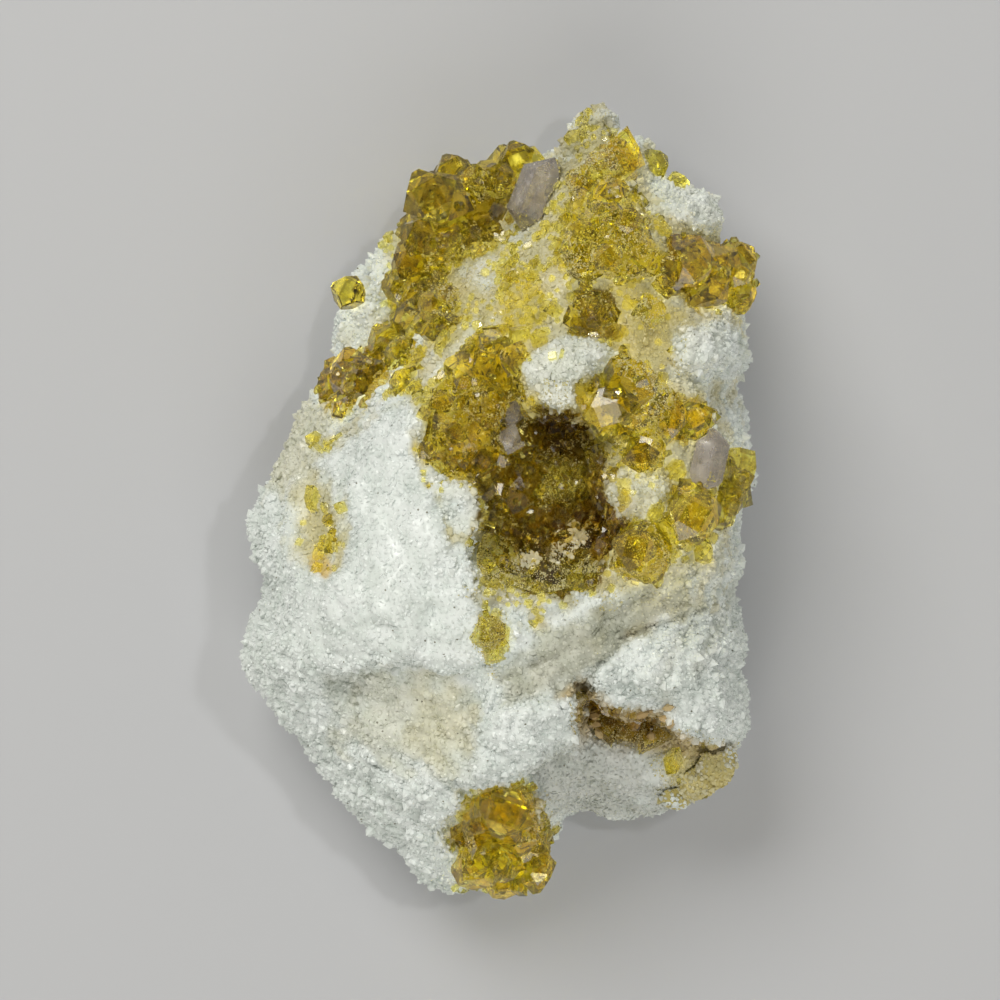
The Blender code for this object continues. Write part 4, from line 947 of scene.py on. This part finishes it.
def barite_material(kind):
    """Clear golden crystal: it colours with depth, and its skin runs from glassy to frosted."""
    tints, absorbed, density, frost = GLOSS[kind]
    nodes = Nodes(bpy.data.materials.new(f"{kind}_barite"))
    veil = nodes.spread(nodes.noise(0.9, 4.0), 0.35, 0.65)
    colour = nodes.mix(1.0, nodes.tone(), nodes.mix(veil, *tints), "MULTIPLY")
    rough = nodes.spread(nodes.noise(1.6, 4.0), 0.40, 0.65, *frost)
    normal = nodes.bump(nodes.noise(1.3, 4.0), 0.13, 0.10)
    volume = nodes.add("ShaderNodeVolumeAbsorption", "Volume",
                       {"Color": absorbed, "Density": density})
    nodes.fill(nodes.tree.nodes["Material Output"].inputs["Volume"], volume)
    return nodes.shade(Base_Color=colour, Roughness=rough, Normal=normal, IOR=BARITE_IOR,
                       Transmission_Weight=1.0)


def lilac_material():
    """Smoky clear quartz, veiled inside and frosted in places."""
    nodes = Nodes(bpy.data.materials.new("lilac_quartz"))
    veil = nodes.spread(nodes.noise(0.5), 0.35, 0.65)
    colour = nodes.mix(veil, (0.48, 0.43, 0.40), (0.78, 0.72, 0.64))
    rough = nodes.spread(nodes.noise(0.8, 4.0), 0.4, 0.65, 0.03, 0.45)
    normal = nodes.bump(nodes.noise(1.2, 4.0), 0.3, 0.15)
    return nodes.shade(Base_Color=colour, Roughness=rough, Normal=normal, IOR=QUARTZ_IOR,
                       Transmission_Weight=0.75)


def finish(thing, material, slot, *replaced):
    """Gives a piece its material and its body, and hides the CAD parts that it replaces."""
    thing.data.materials.clear()
    thing.data.materials.append(material)
    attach(thing, BODY)
    if replaced:
        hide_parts(*replaced)
    return thing


# ---- the quartz
def matrix_surface(node, material):
    """The quartz body: its CAD solid with swells, lumps, raised crusts and creases."""
    thing = remeshed(node, "matrix_surface", MATRIX_VOXEL, MATRIX_SMOOTHING)
    points = points_of(thing)
    normals = read(thing.data.vertex_normals, "vector").astype(float)
    lift = sum(swell.height * noise_at(points, swell.span, 7.0) for swell in SWELLS)
    rise = sum(lump.height * lumps_at(points, lump.span, 3.0) for lump in LUMPS)
    lift += (rise - MEAN_LUMP) * (1.0 - (1.0 - PLATE_HEIGHT) * calm_share(points))
    lifted = points + normals * lift[:, None]
    upward = np.clip(normals[:, 2] * UPWARD, 0.0, 1.0)
    for crust in CRUSTS:
        lifted[:, 2] += crust.rise * upward * crust_height(points, crust, crust.edge)
    for crease in CREASES:
        lifted[:, 2] -= crease.depth * upward * crease_depth(points, crease)
    lifted[:, 2] = np.maximum(lifted[:, 2], 0.0)
    place_points(thing.data, lifted)
    paint(thing, stained(lifted))
    thing.data.shade_smooth()
    return finish(thing, material, "quartz", "quartz_matrix")


def grow_druse(kind, forms, surface, blocked, material, dice):
    """Quartz points over a surface, joined in one mesh, fewer where they are blocked."""
    def spacing_at(points, normals):
        return np.where(points[:, 2] > BACK_LEVEL, kind.apart, 0.0)

    places, normals = strewn(surface, spacing_at, dice)
    free = dice.random(len(places)) > blocked(places)
    places, normals = places[free], normals[free]
    widths = skewed(kind, len(places), DRUSE_SKEW, dice)
    tall = widths * kind.slender * dice.uniform(*TALLNESS, len(places))
    tall *= 1.0 - (1.0 - PLATE_HEIGHT) * calm_share(places)
    tall *= np.where(normals[:, 2] < WALL_SLOPE, WALL_TALL, 1.0)
    sizes = np.stack([widths, widths * dice.uniform(*FLATNESS, len(places)), tall], axis=1)
    frames = frames_on(normals, kind.lean, dice)
    colours = stained(places) * dice.uniform(*DRUSE_SHADES, (len(places), 1))
    grains = Grains(places, frames, sizes, colours)
    stamp_halves(f"druse_{kind.name}", forms, grains, material, dice)


def frost_at(points):
    """How thick the sugar lies at each point, and its colour."""
    thick = np.zeros(len(points))
    colours = np.tile(DUSTED, (len(points), 1))
    ragged = STAIN_RAGGED * noise_at(points, SUGAR_PATCH, 8.0)
    for frost in FROSTS:
        share = frost.strength * soft_inside(patch_reach(points, frost) + ragged, STAIN_EDGE)
        colours = laid_over(colours, share, frost.colour)
        thick = np.maximum(thick, share)
    return thick, colours


def sprinkle_sugar(name, surface, everywhere, material, dice):
    """Patches of pale quartz grains: where frost lies, and everywhere else if so asked."""
    def spacing_at(points, normals):
        patchy = everywhere & (noise_at(points, SUGAR_PATCH, 11.0) > SUGAR_LEVEL)
        patchy |= frost_at(points)[0] > SUGAR_EDGE
        return np.where(patchy & (normals[:, 2] > SUGAR_SLOPE), SUGAR.apart, 0.0)

    places, normals = strewn(surface, spacing_at, dice)
    thick, colours = frost_at(places)
    clumps = noise_at(places, SUGAR_CLUMP, 5.0) + dice.normal(0.0, STRAY, len(places))
    kept = clumps > SUGAR_GAPS - SUGAR_FILL * thick
    places, normals, colours = places[kept], normals[kept], colours[kept]
    widths = skewed(SUGAR, (len(places), 1), SMALL_SKEW, dice)
    sizes = widths * dice.uniform(*SUGAR_SHAPES, (len(places), 3))
    frames = frames_on(normals, SUGAR.lean, dice)
    colours += SUGAR_CREAM * dice.random((len(places), 1)) * (np.array(CREAM) - colours)
    colours *= shade_at(places) ** (SUGAR_SHADE * (1.0 - thick[kept, None]))
    stamp_halves(name, SUGAR_FORMS, Grains(places, frames, sizes, colours), material, dice)


# ---- the barite
def grow_barite(crop, label, surface, materials, dice):
    """Small barite crystals strewn on a surface, one joined mesh for each kind."""
    def spacing_at(points, normals):
        fertile = (barite_share(points)[0] > CROP_EDGE) & (normals[:, 2] > CROP_SLOPE)
        return np.where(fertile, crop.apart, 0.0)

    places, normals = strewn(surface, spacing_at, dice)
    share, kinds = barite_share(places)
    taken = dice.random(len(places)) < crop.share * share
    places, normals, kinds = places[taken], normals[taken], kinds[taken]
    lengths = skewed(crop, len(places), SMALL_SKEW, dice)
    sizes = lengths[:, None] * dice.uniform(*CROP_SHAPES, (len(places), 3))
    frames = frames_on(normals, CROP_LEAN, dice)
    places = places + normals * (crop.rise * lengths)[:, None]
    mean, spread, least = CROP_SHADES
    light = np.clip(dice.normal(mean, spread, (len(places), 1)), least, 1.0)
    grains = Grains(places, frames, sizes, shade_at(places) * light)
    for index, kind in enumerate(KINDS):
        if (kinds == index).any():
            stamp_pieces(f"{label}_{crop.name}_{kind}", BARITE_FORMS,
                         some_of(grains, kinds == index), materials[kind], "barite", dice)


def ordered_mesh(skin, name):
    """A bmesh's faces as a mesh, in an order set by their places alone.

    The bevel leaves its new faces in an order that changes from run to run.
    """
    rings = []
    for face in skin.faces:
        ring = [tuple(round(value * TO_MM, PLACE_DIGITS) for value in vert.co)
                for vert in face.verts]
        ring = [place for index, place in enumerate(ring) if place != ring[index - 1]]
        if len(set(ring)) < 3:
            continue
        first = ring.index(min(ring))
        rings.append(ring[first:] + ring[:first])
    rings.sort()
    places = sorted({place for ring in rings for place in ring})
    index = {place: number for number, place in enumerate(places)}
    mesh = bpy.data.meshes.new(name)
    mesh.from_pydata([Vector(place) * MM for place in places], [],
                     [[index[place] for place in ring] for ring in rings])
    mesh.validate()
    return mesh


def faceted(node, name):
    """A CAD cluster with its flat faces kept, its outward edges worn to narrow flats."""
    skin = welded(node)
    bmesh.ops.dissolve_limit(skin, angle_limit=math.radians(FLAT_ANGLE), verts=skin.verts,
                             edges=skin.edges)
    worn = [edge for edge in skin.edges if edge.is_manifold and edge.is_convex
            and edge.calc_face_angle() > math.radians(EDGE_ANGLE)]
    bmesh.ops.bevel(skin, geom=worn, offset=EDGE_WEAR * MM, offset_type="OFFSET", segments=1,
                    affect="EDGES", clamp_overlap=True)
    thing = link(name, ordered_mesh(skin, name))
    skin.free()
    thing.data.shade_flat()
    return thing


def large_crystals(nodes, materials):
    """Each CAD cluster with its edges eased, in the material of its kind."""
    made = {}
    for name, node in sorted(nodes.items()):
        if not name.startswith("barite"):
            continue
        kind = KIND_OF[name.split("_", 2)[2]]
        thing = faceted(node, name.replace("barite", "golden"))
        tint = STRAW if kind == "crust" else CLEAR
        paint(thing, shade_at(points_of(thing)) * tint)
        made[finish(thing, materials[kind], "barite", name)] = kind
    return made


def lilac_crystals(nodes, material):
    """The two large smoky crystals: one with flat faces and one worn to an oval."""
    upper = faceted(nodes["pale_crystal_upper"], "lilac_crystal_upper")
    right = remeshed(nodes["pale_crystal_right"], "lilac_crystal_right", CRYSTAL_VOXEL,
                     OVAL_SMOOTHING)
    swollen = points_of(right)
    middle = swollen.mean(axis=0)
    place_points(right.data, middle + (swollen - middle) * OVAL_FULLNESS + (0.0, 0.0, OVAL_RISE))
    right.data.shade_smooth()
    return [finish(upper, material, "pale_crystal", "pale_crystal_upper"),
            finish(right, material, "pale_crystal", "pale_crystal_right")]


def frame_for(setting, normal):
    """A rotation whose first axis has the setting's turn in plan and lies on the surface."""
    turn = math.radians(setting.turn)
    up = (normal + Vector((0.0, 0.0, 1.0)) * UPRIGHT).normalized()
    along = Vector((math.cos(turn), math.sin(turn), 0.0))
    along = (along - up * along.dot(up)).normalized()
    along = (along + up * math.tan(math.radians(setting.tilt))).normalized()
    across = up.cross(along).normalized()
    return np.array([along, across, along.cross(across)]).T


def place_crystals(label, settings, tree, materials, slot, tint, dice):
    """Crystals set one by one where they stand out, one joined mesh for each kind."""
    for kind in sorted({setting.kind for setting in settings}):
        mine = [(setting, *top_at(tree, setting.x, setting.y)) for setting in settings
                if setting.kind == kind]
        mine = [row for row in mine if row[1] is not None]
        frames = np.array([frame_for(setting, normal) for setting, _, normal in mine])
        sizes = np.array([(each.length, each.width, each.height) for each, _, _ in mine])
        places = np.array([place for _, place, _ in mine])
        places += frames[:, :, 2] * sizes[:, 2:] * SEATED
        colours = shade_at(places) * tint
        grains = Grains(places, frames, sizes, colours)
        stamp_pieces(f"{label}_{kind}", BARITE_FORMS[:1], grains, materials[kind], slot, dice)


def drawn(ranges, dice):
    """A setting with each value drawn from its range, or as it is given."""
    return Setting(*(dice.uniform(*part) if isinstance(part, tuple) else part for part in ranges))


def flakes(dice):
    """Settings for the small pale scales that lie in patches on the hollow's floor."""
    settings = []
    for middle_x, middle_y, half_x, half_y, lie in FLAKED:
        for _ in range(FLAKES):
            turn, far = dice.uniform(0.0, 2.0 * math.pi), math.sqrt(dice.random())
            along, across = far * half_x * math.cos(turn), far * half_y * math.sin(turn)
            cosine, sine = math.cos(math.radians(lie)), math.sin(math.radians(lie))
            x = middle_x + along * cosine - across * sine
            y = middle_y + along * sine + across * cosine
            settings.append(drawn(FLAKE, dice)._replace(x=x, y=y))
    return settings


def cluster_of(x, y, reach, count, size, kind):
    """Settings for a rounded cluster: crystals on a sunflower spiral, larger in the middle."""
    widest, fall, wide_share, tall_share, tilt = ROUND_SHAPE
    settings = []
    for index in range(count):
        far = reach * math.sqrt((index + 0.5) / count)
        turn = math.radians(GOLDEN_ANGLE * index)
        wide = size * (widest - fall * far / reach)
        settings.append(Setting(x + far * math.cos(turn), y + far * math.sin(turn), wide,
                                wide * wide_share, wide * tall_share,
                                GOLDEN_ANGLE * 2 * index, tilt, kind))
    return settings


# ---- stage
def lights():
    for name, place, width, power, colour in LIGHTS:
        data = bpy.data.lights.new(name, "AREA")
        data.shape = "DISK"
        data.size = width
        data.energy = power
        data.color = colour
        lamp = link(name, data)
        lamp.location = place
        aim = Vector(AIM) - lamp.location
        lamp.rotation_euler = aim.to_track_quat("-Z", "Y").to_euler()


def sky():
    """Soft light from all round, that is stronger low down than high up."""
    world = bpy.data.worlds.new("studio")
    nodes = Nodes(world)
    place = nodes.add("ShaderNodeTexCoord", "Generated")
    height = nodes.add("ShaderNodeSeparateXYZ", "Z", {"Vector": place})
    background = nodes.tree.nodes["Background"]
    nodes.fill(background.inputs["Color"], SKY_COLOUR)
    nodes.fill(background.inputs["Strength"],
               nodes.spread(height, *WORLD_FADE, interpolation_type="SMOOTHSTEP"))
    bpy.context.scene.world = world
    bpy.context.scene.view_settings.view_transform = "Standard"


def floor():
    reach = FLOOR_REACH * MM
    corners = [(-reach, -reach, 0.0), (reach, -reach, 0.0), (reach, reach, 0.0),
               (-reach, reach, 0.0)]
    mesh = bpy.data.meshes.new("floor")
    mesh.from_pydata(corners, [], [(0, 1, 2, 3)])
    nodes = Nodes(bpy.data.materials.new("floor"))
    mesh.materials.append(nodes.shade(Base_Color=FLOOR_COLOUR, Roughness=0.7))
    link("floor", mesh)


def camera():
    """Looks straight down from far off, so that little is foreshortened."""
    data = bpy.data.cameras.new("camera")
    data.sensor_width = SENSOR
    data.lens = SENSOR * CAMERA_HEIGHT / FRAME_WIDTH
    thing = link("camera", data)
    thing.location = (0.0, 0.0, (FRAME_LEVEL + CAMERA_HEIGHT) * MM)
    bpy.context.scene.camera = thing


def let_light_through():
    """Barite casts no shadow: without caustics, a clear crystal's shadow would be black."""
    for thing in bpy.context.scene.objects:
        if thing.name.startswith(("golden", "ground", "cluster", "set_")):
            thing.visible_shadow = False


# ---- the specimen
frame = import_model()
nodes = frame["nodes"]
dice = np.random.default_rng(SEED)
quartz = quartz_material()
smoky = lilac_material()
barites = {kind: barite_material(kind) for kind in KINDS}
barites["crust"] = quartz

TOPS = patch_tops(nodes["quartz_matrix"])
matrix = matrix_surface(nodes["quartz_matrix"], quartz)
ground = surface_of(matrix)
grow_druse(COARSE_DRUSE, COARSE_FORMS, ground,
           lambda p: np.maximum(barite_share(p)[0], calm_share(p)), quartz, dice)
grow_druse(FINE_DRUSE, FINE_FORMS, ground, lambda p: THINNED * barite_share(p)[0], quartz, dice)

clusters = large_crystals(nodes, barites)
crusted = joined_surface([thing for thing, kind in clusters.items() if kind == "crust"])
grow_druse(CRUST_DRUSE, FINE_FORMS, crusted, lambda p: 0.0, quartz, dice)
for crop in MATRIX_CROPS:
    grow_barite(crop, "ground", ground, barites, dice)
for crop in CLUSTER_CROPS:
    grow_barite(crop, "cluster", joined_surface(clusters), barites, dice)

tree = tree_of(joined_surface([matrix, *clusters]))
laths = [drawn(LATH, dice) for _ in range(STREWN)]
place_crystals("set", SETTINGS + cluster_of(*ROUND_CLUSTER) + laths, tree, barites, "barite",
               CLEAR, dice)
place_crystals("frosted", FROSTED + flakes(dice), tree, {"plate": quartz}, "quartz", FROST_TINT,
               dice)
prisms = [drawn(PRISM, dice) for _ in range(STREWN)]
place_crystals("tan", prisms, tree, {"prism": quartz}, "quartz", TAN, dice)
lilacs = lilac_crystals(nodes, smoky)
place_crystals("lilac_set", SMOKY, tree, {"smoky": smoky}, "pale_crystal", CLEAR, dice)
sprinkle_sugar("sugar_on_crystals", joined_surface([*clusters, *lilacs]), True, quartz, dice)
sprinkle_sugar("sugar_on_ground", ground, False, quartz, dice)

let_light_through()
floor()
lights()
sky()
camera()
